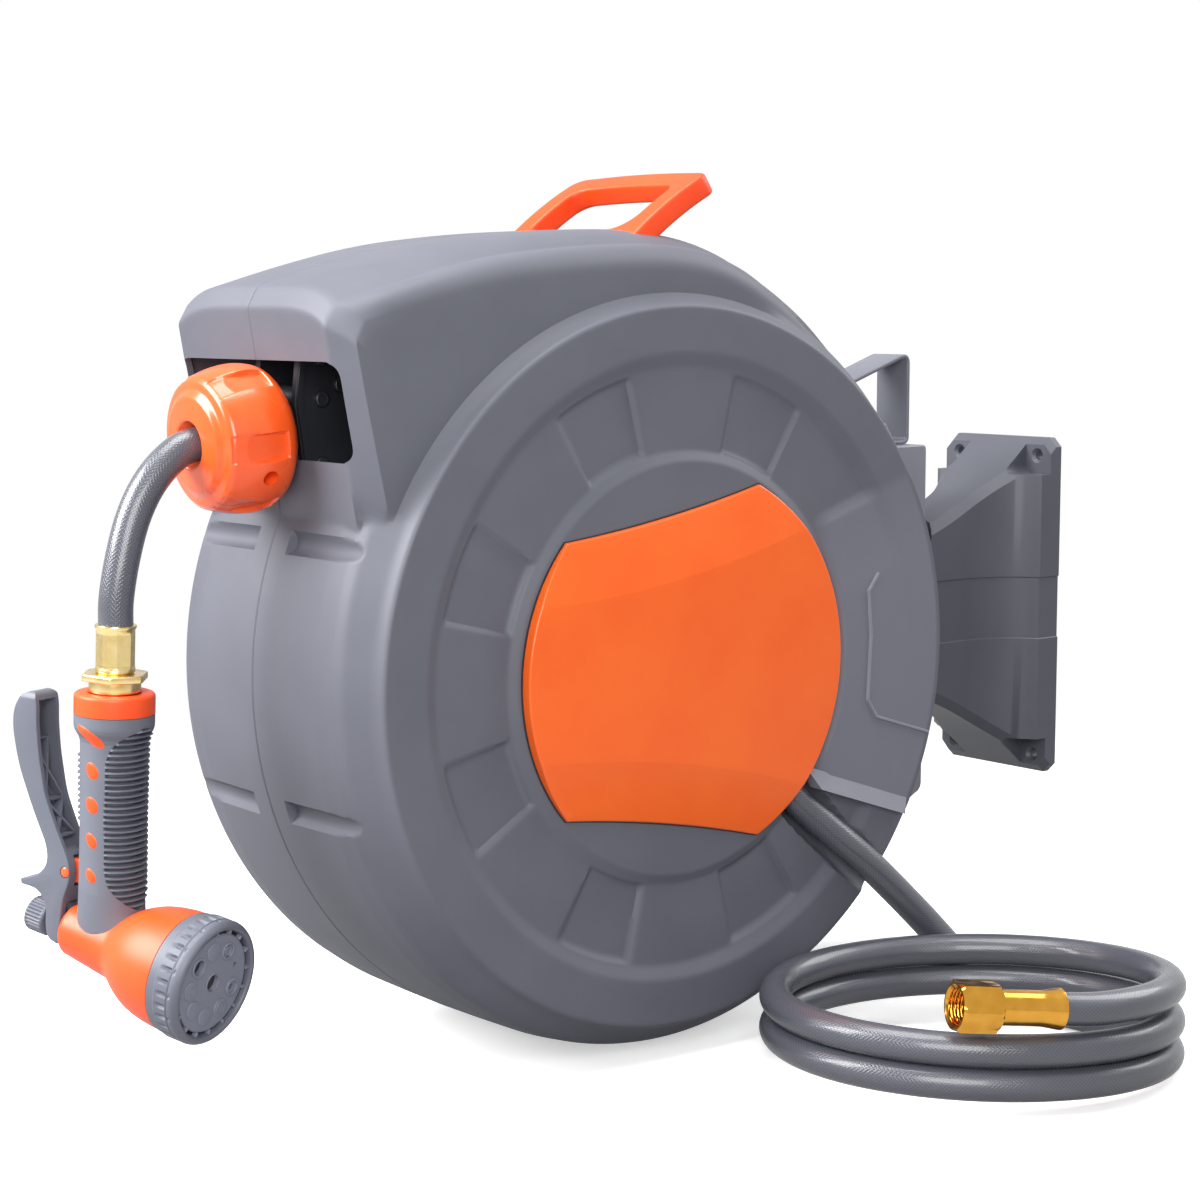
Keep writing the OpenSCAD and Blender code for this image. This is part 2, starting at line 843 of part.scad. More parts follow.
// Outer layer of the hose on the drum: a helix with straight ends
wind_steps = (wind_turns - 1) * loop_rings;
function wind_at(i) = let (a = 360 * i / loop_rings)
    [wind_pitch * (i / loop_rings - (wind_turns - 1) / 2), wind_r * cos(a), wind_r * sin(a)];
wind_helix = [for (i = [0 : wind_steps]) wind_at(i)];
wind_path = concat(
    [wind_helix[0] - hose_d * [0, 0, 1]], wind_helix, [wind_helix[wind_steps] + hose_d * [0, 0, 1]]);
module wound_hose() {
    color(hose_grey) at_drum() tube(wind_path, hose_r, [1, 0, 0], 6);
}

// Gears: straight flanked teeth, set in mesh with each other
function gear_outline(z, phase) = [for (i = [0 : z - 1]) each
    let (a = phase + 360 * i / z, p = 360 / z, r = tooth_m * z / 2)
    let (low = r - tooth_root_share * tooth_m, high = r + tooth_tip_share * tooth_m)
    let (wide = tooth_root_half_share * p, slim = tooth_tip_half_share * p)
    [polar(low, a - wide), polar(high, a - slim), polar(high, a + slim), polar(low, a + wide)]];
function mesh_phase(z1, phase1, z2, dir) = dir + 180 - (phase1 - dir) * z1 / z2 + 180 / z2;
drum_to_idler = tooth_m * (drum_teeth + idler_teeth) / 2;
idler_to_screw = tooth_m * (idler_teeth + screw_teeth) / 2;
screw_dir = atan2(screw_z, screw_y);
idler_dir = screw_dir + acos((pow(drum_to_idler, 2) + pow(drum_to_screw, 2) - pow(idler_to_screw, 2))
    / (2 * drum_to_idler * drum_to_screw));
idler_at = polar(drum_to_idler, idler_dir);
mesh_dir = atan2(screw_z - idler_at[1], screw_y - idler_at[0]);
idler_phase = mesh_phase(drum_teeth, 0, idler_teeth, idler_dir);
screw_phase = mesh_phase(idler_teeth, idler_phase, screw_teeth, mesh_dir);
module gear(z, phase, at, bore, x0, x1) {
    translate([0, at[0], at[1]]) difference() {
        side_prism(gear_outline(z, phase), x0, x1);
        x_rod(bore, x0 - over, x1 + over);
    }
}
module drum_gear() {
    color(drum_grey) at_drum() gear(drum_teeth, 0, [0, 0], bush_r, -gear_x, -flange_x);
}
module idler_gear() {
    color(drum_grey) at_drum()
        gear(idler_teeth, idler_phase, idler_at, idler_r + run_clear,
            -gear_x + gear_gap, -flange_x - gear_gap);
}
module idler_pin() {
    color(steel) at_drum() translate([0, idler_at[0], idler_at[1]]) {
        x_rod(idler_r, wall - face_x, -flange_x - gear_gap);
        x_rod(boss_r, boss_t + wall - face_x, -gear_x);
    }
}
module screw_gear() {
    color(drum_grey) at_drum()
        gear(screw_teeth, screw_phase, [screw_y, screw_z], journal_r + seat_clear,
            -gear_x + gear_gap, -flange_x - gear_gap);
}

// Reversing screw: its journals turn in the case's bosses and its left end carries the gear
module traverse_screw() {
    color(steel) at_drum() translate([0, screw_y, screw_z]) {
        x_rod(screw_r, -flange_x, screw_end);
        x_rod(journal_r, -screw_end - journal_l + gear_gap, -flange_x);
        x_rod(journal_r, screw_end, screw_end + journal_l - gear_gap);
    }
}

// Ratchet and pawl
ratchet_outline = [for (i = [0 : ratchet_teeth - 1]) each
    let (a = 360 * i / ratchet_teeth, p = 360 / ratchet_teeth)
    [polar(ratchet_root_r, a), polar(ratchet_r, a + p / 8), polar(ratchet_root_r, a + p)]];
module ratchet_wheel() {
    color(steel) at_drum() difference() {
        side_prism(ratchet_outline, -ratchet_x, -gear_x);
        x_rod(bush_r, -ratchet_x - over, -gear_x + over);
    }
}
pawl_at = polar(pawl_pivot_r, pawl_angle);
pawl_tip = polar(ratchet_r + pawl_gap, pawl_angle - pawl_lead);
module pawl() {
    side = unit(pawl_tip - pawl_at);
    across = [-side[1], side[0]] * pawl_half;
    color(steel) at_drum() difference() {
        union() {
            translate([0, pawl_at[0], pawl_at[1]])
                x_rod(pawl_boss_r, -ratchet_x, -gear_x - gear_gap);
            side_prism([pawl_at + across, pawl_at - across, pawl_tip], -ratchet_x, -gear_x - gear_gap);
        }
        translate([0, pawl_at[0], pawl_at[1]]) x_rod(pawl_pin_r + run_clear, -case_w, 0);
    }
}
module pawl_pin() {
    color(steel) at_drum() translate([0, pawl_at[0], pawl_at[1]])
        x_rod(pawl_pin_r, wall - face_x, -gear_x);
}
module pawl_spring() {
    color(steel) at_drum() translate([0, pawl_at[0], pawl_at[1]])
        x_ring(pawl_pin_r + seat_clear, pawl_half, boss_t + wall - face_x, -ratchet_x - gear_gap / 2);
}

// Fixed arbor of the rewind spring, and the flat spiral spring on it
module spring_arbor() {
    color(steel) at_drum() {
        x_rod(arbor_flange_r, wall - face_x, wall + arbor_flange_t - face_x);
        x_rod(axle_r, wall + arbor_flange_t - face_x, -arbor_end);
    }
}
spring_steps = spring_turns * spring_rings;
function spring_r(i) = axle_r + seat_clear
    + (hub_r - hub_wall - spring_gap - axle_r - spring_t) * i / spring_steps;
module main_spring() {
    inner = [for (i = [0 : spring_steps]) polar(spring_r(i), 360 * i / spring_rings)];
    outer = [for (i = [spring_steps : -1 : 0]) polar(spring_r(i) + spring_t, 360 * i / spring_rings)];
    color(steel) at_drum()
        side_prism(concat(inner, outer), -arbor_end - spring_w - spring_gap, -arbor_end - spring_gap);
}

// Water inlet: spigot in the drum's right bushing, and a branch to the hose
module inlet_elbow() {
    color(brass) at_drum() difference() {
        union() {
            x_rod(axle_r, spigot_end, elbow_x0);
            x_rod(elbow_r, elbow_x0, face_x - wall);
            on_inlet() translate([elbow_line_x, 0, 0]) rotate([-90, 0, 0])
                z_rod(branch_r, branch_from, branch_to);
        }
        x_rod(axle_r / 2, spigot_end - over, elbow_line_x);
    }
}

// Level-wind guide
module guide_rail() {
    color(steel) at_drum() translate([0, rail_y, rail_z])
        x_rod(rail_r, wall - snout_half + sliver, snout_half - wall - sliver);
}
roller_hose_z = hose_line_z(roller_y);
roller_gap = hose_r + free_clear + roller_r;
guide_out = guide_half + plate_t;
function on_guide(shares) = [for (p = shares) guide_at + guide_h * p];
module guide_carriage() {
    color(black) at_drum() translate([guide_x, 0, 0]) difference() {
        union() {
            for (s = [-1, 1]) side_prism(on_guide(guide_side_shares), s * guide_out - (s > 0 ? plate_t : 0),
                s * guide_out + (s > 0 ? 0 : plate_t));
            side_prism(on_guide(bar_low_shares), -guide_out, guide_out);
            side_prism(on_guide(bar_high_shares), -guide_out, guide_out);
        }
        translate([0, rail_y, rail_z]) x_rod(rail_r + run_clear, -case_w, case_w);
        translate([0, screw_y, screw_z]) x_rod(screw_r + free_clear, -case_w, case_w);
        for (s = [-1, 1]) translate([0, roller_y, roller_hose_z + s * roller_gap])
            x_rod(roller_pin_r + run_clear, -case_w, case_w);
    }
}
module guide_roller(s) {
    color(black) at_drum() translate([guide_x, roller_y, roller_hose_z + s * roller_gap]) {
        x_rod(roller_r, free_clear - guide_half, guide_half - free_clear);
        x_rod(roller_pin_r, -guide_out, guide_out);
    }
}
module guide_roller_upper() {
    guide_roller(1);
}
module guide_roller_lower() {
    guide_roller(-1);
}

// Hose lead, from behind the rollers through the stopper and down to the nozzle
module hose_lead() {
    color(hose_grey) at_drum() translate([guide_x, 0, 0]) tube(lead_route, hose_r, [1, 0, 0], 12);
}

// Stopper: two halves clamped on the lead
module at_stopper() {
    at_drum() translate([guide_x, stop_y, stop_z]) rotate([stop_tilt + 90, 0, 0]) children();
}
module stopper_half(s) {
    r = stop_d / 2;
    color(stop_orange) at_stopper() difference() {
        rotate_extrude() polygon(concat([[0, 0]],
            [for (p = stop_shares) [p[0] * r, p[1] * stop_l]], [[0, stop_l]]));
        z_rod(hose_r + seat_clear, -over, stop_l + over);
        translate([0, 0, stop_l - stop_hole_l])
            cylinder(r1 = hose_r + seat_clear, r2 = stop_hole_r, h = stop_hole_l + sliver);
        box([s > 0 ? -stop_d : 0, -stop_d, -over], [s > 0 ? 0 : stop_d, stop_d, stop_l + over]);
        for (k = [0 : stop_pocket_count - 1]) rotate([0, 0, (k + 0.5) * 360 / stop_pocket_count])
            translate([r - stop_pocket_deep, -stop_pocket[0] / 2, stop_l / 5])
                cube([stop_d, stop_pocket[0], stop_pocket[1]]);
        for (sy = [-1, 1]) translate([0, sy * stop_screw_off, stop_l / 4])
            x_rod(stop_screw_r + seat_clear, -stop_d, stop_d);
    }
}
module stopper_left() {
    stopper_half(-1);
}
module stopper_right() {
    stopper_half(1);
}
module stopper_screws() {
    color(steel) at_stopper() for (sy = [-1, 1]) translate([0, sy * stop_screw_off, stop_l / 4])
        x_rod(stop_screw_r, -stop_screw_l / 2, stop_screw_l / 2);
}

// Nozzle
module at_nozzle() {
    at_drum() translate([guide_x, nozzle_y, lead_end_z]) rotate([0, nozzle_lean, nozzle_yaw])
        translate([0, 0, -lead_end_z]) children();
}
// Frame of the barrel: X along it
module on_barrel() {
    translate([0, 0, barrel_z]) rotate([0, barrel_tilt, 0]) children();
}
flange_z = lead_end_z - ferrule_l;
module outlet_ferrule() {
    color(brass) at_nozzle() z_rod(ferrule_r, flange_z, lead_end_z);
}
module outlet_fitting() {
    color(brass) at_nozzle() {
        translate([0, 0, flange_z - flange_hex_t]) cylinder(r = flange_hex_r, h = flange_hex_t, $fn = 6);
        z_rod(neck_r, flange_z - neck_l, flange_z - flange_hex_t);
    }
}
module nozzle_collar() {
    color(stop_orange) at_nozzle() difference() {
        z_rod(collar_r, grip_top, collar_top);
        z_rod(neck_r + seat_clear, flange_z - neck_l, collar_top + over);
        z_rod(pipe_r + seat_clear, grip_top - over, collar_top);
    }
}
module nozzle_grip() {
    color(grip_grey) at_nozzle() difference() {
        rotate_extrude() polygon([
            [0, grip_top], [collar_r - seat_clear, grip_top],
            [collar_r - seat_clear, grip_top - grip_ring_l], [grip_r, grip_top - 2 * grip_ring_l],
            [grip_r, grip_low + 2 * collar_l],
            [collar_r - over, grip_low], [0, grip_low],
        ]);
        z_rod(pipe_r + seat_clear, grip_low - over, grip_top + over);
        barrel(seat_clear);
        tongue(seat_clear);
        dots(seat_clear);
    }
}
// Oval dots let into both flanks of the grip
module dots(extra) {
    for (k = [0 : dot_count - 1]) for (s = [-1, 1])
        translate([0, s * grip_r, grip_top - dot_first - k * dot_step]) rotate([90, 0, 0])
            translate([0, 0, -dot_proud]) cylinder(r = dot_r + extra, h = 2 * dot_proud);
}
module nozzle_dots() {
    color(stop_orange) at_nozzle() dots(0);
}
// Barrel that widens into the bell behind the spray dial
module barrel(extra) {
    on_barrel() rotate([0, 90, 0]) rotate_extrude() polygon(concat(
        [[0, barrel_back], [barrel_r - barrel_round + extra, barrel_back]],
        [[barrel_r + extra, barrel_back + barrel_round]],
        [for (p = bell_shares) [p[0] * barrel_r + extra, p[1] * barrel_front]], [[0, barrel_front]]
    ));
}
module nozzle_body() {
    color(stop_orange) at_nozzle() difference() {
        union() {
            z_rod(pipe_r, barrel_z, flange_z - neck_l);
            barrel(0);
        }
        on_barrel() x_rod(stem_r + run_clear, barrel_back - over, barrel_back + stem_l);
    }
}
// Trigger lever: rocks on its pin behind the barrel, and its fork draws the stem back
module nozzle_lever() {
    color(grip_grey) at_nozzle() difference() {
        translate([0, lever_w / 2, 0]) rotate([90, 0, 0]) linear_extrude(lever_w)
            polygon(lever_l * concat(lever_out_shares, lever_in_shares));
        translate([lever_pin_a, 0, lever_pin_z]) rotate([90, 0, 0])
            cylinder(r = lever_pin_r + run_clear, h = case_w, center = true);
        box([lever_pin_a - tongue_room, -tongue_t / 2 - free_clear, lever_pin_z - tongue_room],
            [0, tongue_t / 2 + free_clear, lever_pin_z + tongue_room]);
        box([-case_w, -fork_half, barrel_z - case_w], [0, fork_half, fork_z]);
    }
}
// Tongue that stands out of the back of the grip to carry the lever's pin
module tongue(extra) {
    box([lever_pin_a, -tongue_t / 2 - extra, lever_pin_z - tongue_r - extra],
        [0, tongue_t / 2 + extra, lever_pin_z + tongue_r + extra]);
}
module lever_pin() {
    color(stop_orange) at_nozzle() {
        translate([lever_pin_a, 0, lever_pin_z]) rotate([90, 0, 0]) {
            cylinder(r = lever_pin_r, h = lever_w, center = true);
            cylinder(r = tongue_r, h = tongue_t, center = true);
        }
        difference() {
            tongue(0);
            z_rod(pipe_r + seat_clear, barrel_z, collar_top);
        }
    }
}
module valve_stem() {
    color(steel) at_nozzle() on_barrel()
        x_rod(stem_r, barrel_back - knob_gap - knob_l / 2, barrel_back + stem_l - knob_gap);
}
module flow_knob() {
    color(grip_grey) at_nozzle() on_barrel() difference() {
        x_rod(knob_r, barrel_back - knob_gap - knob_l, barrel_back - knob_gap);
        x_rod(stem_r + run_clear, barrel_back - knob_gap - knob_l / 2, barrel_back);
    }
}
module spray_dial() {
    x0 = barrel_front + free_clear;
    color(grip_grey) at_nozzle() on_barrel()
        x_ring(dial_r - 2 * face_in, dial_r, x0, x0 + dial_l);
}
module spray_face() {
    x0 = barrel_front + free_clear;
    color(grip_grey) at_nozzle() on_barrel() difference() {
        x_rod(dial_r - 2 * face_in, x0, x0 + dial_l - face_in);
        for (k = [0 : spray_holes - 1]) rotate([360 * k / spray_holes, 0, 0])
            translate([0, spray_ring_r, 0])
                x_rod(spray_hole_r, x0 + dial_l - 3 * face_in, x0 + dial_l);
        x_rod(spray_hole_r, x0 + dial_l - 3 * face_in, x0 + dial_l);
    }
}

// Inlet hose: an oval helix that climbs to the brass end
coil_long = [cos(coil_turn), sin(coil_turn), 0];
coil_cross = [sin(coil_turn), -cos(coil_turn), 0];
coil_low_z = hose_r - floor_drop;
function coil_at(i) = let (t = coil_from - coil_sweep * (1 - i / coil_steps))
    [coil_x, coil_y, coil_low_z + coil_pitch * coil_sweep / 360 * i / coil_steps]
    + coil_a * cos(t) * coil_long + coil_b * sin(t) * coil_cross;
coil_loop = [for (i = [0 : coil_steps]) coil_at(i)];
coil_in_dir = unit([for (k = [0, 1]) coil_loop[1][k] - coil_loop[0][k]]);
coil_in = coil_loop[0] - hose_d * [coil_in_dir[0], coil_in_dir[1], 0];
tail_dir = unit(sin(tail_toe) * coil_cross - cos(tail_toe) * coil_long + [0, 0, tan(tail_rise)]);
coil_out = coil_loop[coil_steps] + hose_d * tail_dir;
coil_path = concat([coil_in], coil_loop, [coil_out]);
module inlet_hose_coil() {
    color(hose_grey) at_drum() tube(coil_path, hose_r, [0, 0, 1], 6);
}
function from_inlet(p) = [p[0], p[1] * cos(inlet_angle), -p[1] * sin(inlet_angle)];
drop_path = concat([for (p = drop_route) from_inlet(p)], drop_free,
    [coil_in - hose_d * [coil_in_dir[0], coil_in_dir[1], 0], coil_in]);
module inlet_hose_drop() {
    color(hose_grey) at_drum() tube(drop_path, hose_r, [1, 0, 0], 10);
}

// Brass end of the inlet hose
module at_inlet_end() {
    at_drum() translate(coil_out) rotate([0, 90 - asin(tail_dir[2]), atan2(tail_dir[1], tail_dir[0])])
        children();
}
module inlet_ferrule() {
    color(brass) at_inlet_end() rotate_extrude() polygon([
        [0, 0], [inlet_flare_r, 0], [inlet_flare_r, inlet_flare_l],
        [inlet_ferrule_r, 2 * inlet_flare_l], [inlet_ferrule_r, inlet_ferrule_l], [0, inlet_ferrule_l],
    ]);
}
module inlet_nut() {
    color(brass) at_inlet_end() translate([0, 0, inlet_ferrule_l]) difference() {
        cylinder(r = nut_af / sqrt(3), h = nut_l, $fn = 6);
        z_rod(nut_bore_r, nut_l - nut_skirt_l, nut_l + over);
    }
}

echo(str("least gap in the floor coil ", self_gap(coil_path, 12, hose_r)));
echo(str("least gap in the drum winding ", self_gap(wind_path, 12, hose_r)));

wall_bracket();
pivot_block();
pivot_pin();
pin_strap();
case_right();
case_left();
badge_right();
badge_left();
carry_handle();
case_screws();
drum_hub();
drum_flange_right();
drum_flange_left();
drum_gear();
bushing_right();
bushing_left();
hose_core();
wound_hose();
ratchet_wheel();
pawl();
pawl_pin();
pawl_spring();
spring_arbor();
main_spring();
inlet_elbow();
idler_gear();
idler_pin();
traverse_screw();
screw_gear();
guide_rail();
guide_carriage();
guide_roller_upper();
guide_roller_lower();
hose_lead();
stopper_left();
stopper_right();
stopper_screws();
outlet_ferrule();
outlet_fitting();
nozzle_body();
nozzle_collar();
nozzle_grip();
nozzle_dots();
nozzle_lever();
lever_pin();
valve_stem();
flow_knob();
spray_dial();
spray_face();
inlet_hose_drop();
inlet_hose_coil();
inlet_ferrule();
inlet_nut();
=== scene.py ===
"""Wall mounted hose reel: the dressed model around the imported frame.

Lengths in this file are millimetres in the drum's own frame (origin on the drum axis,
X along it, +Y to the wall, +Z up) until put_mesh moves them to the row frame in metres.
"""
import json

import bmesh
import bpy
import numpy as np
from mathutils import Matrix


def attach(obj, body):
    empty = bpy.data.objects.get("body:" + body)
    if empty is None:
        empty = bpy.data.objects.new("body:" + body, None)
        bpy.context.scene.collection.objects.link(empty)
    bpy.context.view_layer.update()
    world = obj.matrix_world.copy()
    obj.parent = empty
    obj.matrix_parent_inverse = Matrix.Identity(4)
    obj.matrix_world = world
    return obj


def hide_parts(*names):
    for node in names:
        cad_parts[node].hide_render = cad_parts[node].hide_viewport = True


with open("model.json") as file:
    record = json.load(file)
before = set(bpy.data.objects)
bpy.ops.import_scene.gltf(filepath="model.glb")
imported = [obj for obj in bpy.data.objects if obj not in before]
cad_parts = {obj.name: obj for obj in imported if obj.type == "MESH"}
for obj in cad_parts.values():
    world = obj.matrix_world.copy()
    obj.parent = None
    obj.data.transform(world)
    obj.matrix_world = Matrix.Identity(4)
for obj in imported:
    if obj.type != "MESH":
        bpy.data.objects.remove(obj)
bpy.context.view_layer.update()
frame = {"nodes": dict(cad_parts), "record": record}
nodes = frame["nodes"]

MM = 0.001
X, Y, Z = np.eye(3)
ABOUT_X = (Y, Z, X)
# Drum's centre in the row frame.
DRUM = np.array([0.0, -370.0, -3.0])
FLOOR_Z = -222.0
HOSE_R = 9.0
# Bevel of a cutter whose rims stay sharp.
SHARP = 0.01


# Small helpers

def unit(v):
    """Vector scaled to length one, along the last axis."""
    v = np.asarray(v, float)
    return v / np.linalg.norm(v, axis=-1, keepdims=True)


def smoothstep(low, high, x):
    """0 below low, 1 above high, and the cubic 3t^2 - 2t^3 between them."""
    t = np.clip((np.asarray(x, float) - low) / (high - low), 0, 1)
    return t * t * (3 - 2 * t)


def deg_cos_sin(angle):
    """Cosine and sine of an angle in degrees."""
    return np.cos(np.radians(angle)), np.sin(np.radians(angle))


def filleted(points, radii, steps):
    """Open line with each inner corner swapped for a quadratic curve that starts and ends
    the given distance from the corner."""
    pts = [np.asarray(p, float) for p in points]
    radii = np.broadcast_to(radii, len(pts))
    out = [pts[0]]
    for before, corner, after, r in zip(pts, pts[1:], pts[2:], radii[1:]):
        la, lb = np.linalg.norm(before - corner), np.linalg.norm(after - corner)
        d = min(r, 0.48 * la, 0.48 * lb)
        if d <= 0:
            out.append(corner)
            continue
        a, b = corner + (before - corner) / la * d, corner + (after - corner) / lb * d
        t = np.linspace(0, 1, steps + 1)[:, None]
        out.extend((1 - t) ** 2 * a + 2 * t * (1 - t) * corner + t ** 2 * b)
    out.append(pts[-1])
    return np.array(out)


def filleted_loop(points, radii, steps):
    """Closed outline whose every corner is filleted as an open line's are."""
    pts = np.asarray(points, float)
    radii = np.broadcast_to(radii, len(pts))
    ring = np.vstack([pts[-1:], pts, pts[:1]])
    r = np.concatenate([radii[-1:], radii, radii[:1]])
    return filleted(ring, r, steps)[1:-1]


def run_length(line):
    """Distance along a line at each of its points."""
    step = np.linalg.norm(np.diff(line, axis=0), axis=1)
    return np.concatenate([[0], np.cumsum(step)])


def resampled(line, count):
    """Points evenly spaced by length along a line."""
    line = np.asarray(line, float)
    s = run_length(line)
    at = np.linspace(0, s[-1], count)
    return np.stack([np.interp(at, s, line[:, k]) for k in range(line.shape[1])], axis=1)


def smooth_curve(points, per_span):
    """Catmull-Rom curve through the points: each span's cubic takes its end slopes from
    the points on either side."""
    p = np.asarray(points, float)
    p = np.vstack([2 * p[0] - p[1], p, 2 * p[-1] - p[-2]])
    t = np.linspace(0, 1, per_span, endpoint=False)[None, :, None]
    a, b, c, d = (p[i:len(p) - 3 + i, None, :] for i in range(4))
    q = 0.5 * (2 * b + (c - a) * t + (2 * a - 5 * b + 4 * c - d) * t ** 2
               + (3 * b - a - 3 * c + d) * t ** 3)
    return np.vstack([q.reshape(-1, 3), p[-2:-1]])


def grid_faces(rows, cols, wrap_rows=False, wrap_cols=False):
    """Quads of a grid of points numbered row by row, joined round where it wraps."""
    i = np.arange(rows if wrap_rows else rows - 1)
    j = np.arange(cols if wrap_cols else cols - 1)
    i, j = (v.ravel() for v in np.meshgrid(i, j, indexing="ij"))
    i1, j1 = (i + 1) % rows, (j + 1) % cols
    return np.stack([i * cols + j, i1 * cols + j, i1 * cols + j1, i * cols + j1], axis=1)


def capped_faces(rows, cols):
    """Quads of a tube of rows of points, with a flat cap at each end."""
    first, last = np.arange(cols)[::-1], np.arange((rows - 1) * cols, rows * cols)
    return grid_faces(rows, cols, wrap_cols=True).tolist() + [first.tolist(), last.tolist()]


def add_object(name, data):
    """Object for a mesh, camera or lamp, linked to the scene."""
    obj = bpy.data.objects.new(name, data)
    bpy.context.scene.collection.objects.link(obj)
    return obj


def put_mesh(name, verts, faces, finish, body, stands_for=(), smooth=True, uv=None,
             edge_angle=None, recalc=True, offset=DRUM):
    """Mesh object from points in millimetres and a face list, moved to the row frame in metres.
    A face that crosses the seam of a wrapped map has its low first coordinates raised by one."""
    mesh = bpy.data.meshes.new(name)
    verts = (np.asarray(verts, float).reshape(-1, 3) + offset) * MM
    mesh.from_pydata(verts.tolist(), [], [list(map(int, f)) for f in faces])
    if uv is not None:
        layer = mesh.uv_layers.new(name="UVMap")
        loops = np.zeros(len(mesh.loops), np.int32)
        mesh.loops.foreach_get("vertex_index", loops)
        pair = np.asarray(uv, np.float32)[loops]
        start, total = (np.zeros(len(mesh.polygons), np.int32) for _ in range(2))
        mesh.polygons.foreach_get("loop_start", start)
        mesh.polygons.foreach_get("loop_total", total)
        most = np.repeat(np.maximum.reduceat(pair[:, 0], start), total)
        pair[:, 0] += most - pair[:, 0] > 0.5
        layer.data.foreach_set("uv", pair.ravel())
    mesh.validate()
    if recalc:
        turn_outward(mesh)
    if smooth:
        mesh.shade_smooth()
    else:
        mesh.shade_flat()
    obj = add_object(name, mesh)
    if edge_angle is not None:
        mark_sharp(mesh, edge_angle)
    mesh.materials.append(FINISH[finish])
    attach(obj, body)
    if stands_for:
        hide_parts(*stands_for)
    return obj


def turn_outward(mesh):
    """Merges doubled points and turns every face of a closed mesh to point out."""
    bm = bmesh.new()
    bm.from_mesh(mesh)
    bmesh.ops.remove_doubles(bm, verts=bm.verts, dist=1e-6)
    bmesh.ops.recalc_face_normals(bm, faces=bm.faces)
    bm.to_mesh(mesh)
    bm.free()


def mark_sharp(mesh, angle):
    """Shades smooth except over edges that turn more than the angle in degrees."""
    mesh.set_sharp_from_angle(angle=np.radians(angle))


def join_parts(parts):
    """One point list and face list out of several, with the numbers shifted."""
    verts, faces, start = [], [], 0
    for v, f in parts:
        v = np.asarray(v, float).reshape(-1, 3)
        verts.append(v)
        faces.extend([[int(k) + start for k in face] for face in f])
        start += len(v)
    return np.vstack(verts), faces


def tube_part(path, radius, sides, ref):
    """Circle of the given radius carried along a path; the circle's first axis is the cross
    product of ref and the path's direction. Flat caps close both ends."""
    path = np.asarray(path, float)
    radius = np.broadcast_to(radius, len(path))
    along = unit(np.gradient(path, axis=0))
    a = unit(np.cross(ref, along))
    b = np.cross(along, a)
    ang = np.linspace(0, 2 * np.pi, sides, endpoint=False)
    ring = np.cos(ang)[None, :, None] * a[:, None] + np.sin(ang)[None, :, None] * b[:, None]
    verts = path[:, None] + radius[:, None, None] * ring
    return verts.reshape(-1, 3), capped_faces(len(path), sides)


def tube_uv(path, sides):
    """Round-the-tube share and length along it in millimetres, one pair for each point."""
    u = np.arange(sides) / sides
    return np.stack(np.meshgrid(u, run_length(path)), axis=-1).reshape(-1, 2)


def turned_part(profile, sides, axes, origin=(0, 0, 0), shape=None):
    """Profile of (radius, station) pairs turned about axes[2] at origin. shape(angle, radius,
    station) may give new radii, for ribs and pockets. Ends with no radius close at a point."""
    profile = np.asarray(profile, float)
    ang = np.linspace(0, 2 * np.pi, sides, endpoint=False)
    r, s = (np.repeat(profile[:, k][:, None], sides, axis=1) for k in (0, 1))
    if shape is not None:
        r = shape(np.broadcast_to(ang, r.shape), r, s)
    ex, ey, ez = (np.asarray(v, float) for v in axes)
    verts = (np.asarray(origin, float) + (r * np.cos(ang))[..., None] * ex
             + (r * np.sin(ang))[..., None] * ey + s[..., None] * ez)
    return verts.reshape(-1, 3), grid_faces(len(profile), sides, wrap_cols=True).tolist()


def outline_normals(p):
    """Outward normals at the points of a closed outline, lengthened at its corners so that an
    inset keeps its width."""
    before, after = p - np.roll(p, 1, axis=0), np.roll(p, -1, axis=0) - p
    na, nb = (unit(np.stack([v[:, 1], -v[:, 0]], axis=1)) for v in (before, after))
    normal = (na + nb) / (1 + np.sum(na * nb, axis=1, keepdims=True)).clip(0.4)
    area = np.sum(p[:, 0] * np.roll(p[:, 1], -1) - np.roll(p[:, 0], -1) * p[:, 1])
    return normal if area > 0 else -normal


def plate_part(outline, low, high, bevel, axes, origin=(0, 0, 0), steps=3):
    """Outline in the first two axes drawn out from low to high along the third, its two rims
    rounded by a quarter circle of radius bevel."""
    p = np.asarray(outline, float)
    normal = outline_normals(p)
    t = np.linspace(0, np.pi / 2, steps + 1)
    inset = np.concatenate([bevel * (1 - np.sin(t)), bevel * (1 - np.cos(t))])
    level = np.concatenate([low + bevel * (1 - np.cos(t)), high - bevel * (1 - np.sin(t))])
    flat = p[None] - inset[:, None, None] * normal[None]
    ex, ey, ez = (np.asarray(v, float) for v in axes)
    verts = (np.asarray(origin, float) + flat[..., :1] * ex + flat[..., 1:] * ey
             + level[:, None, None] * ez)
    return verts.reshape(-1, 3), capped_faces(len(inset), len(p))


def rod_part(radius, low, high, axes, origin, sides=40):
    """Plain closed rod, for bores and cuts."""
    return turned_part([[0, low], [radius, low], [radius, high], [0, high]], sides, axes, origin)


def hexagon(radius):
    """Hexagon's corners on a circle of the radius."""
    c, s = deg_cos_sin(60 * np.arange(6))
    return radius * np.stack([c, s], axis=1)


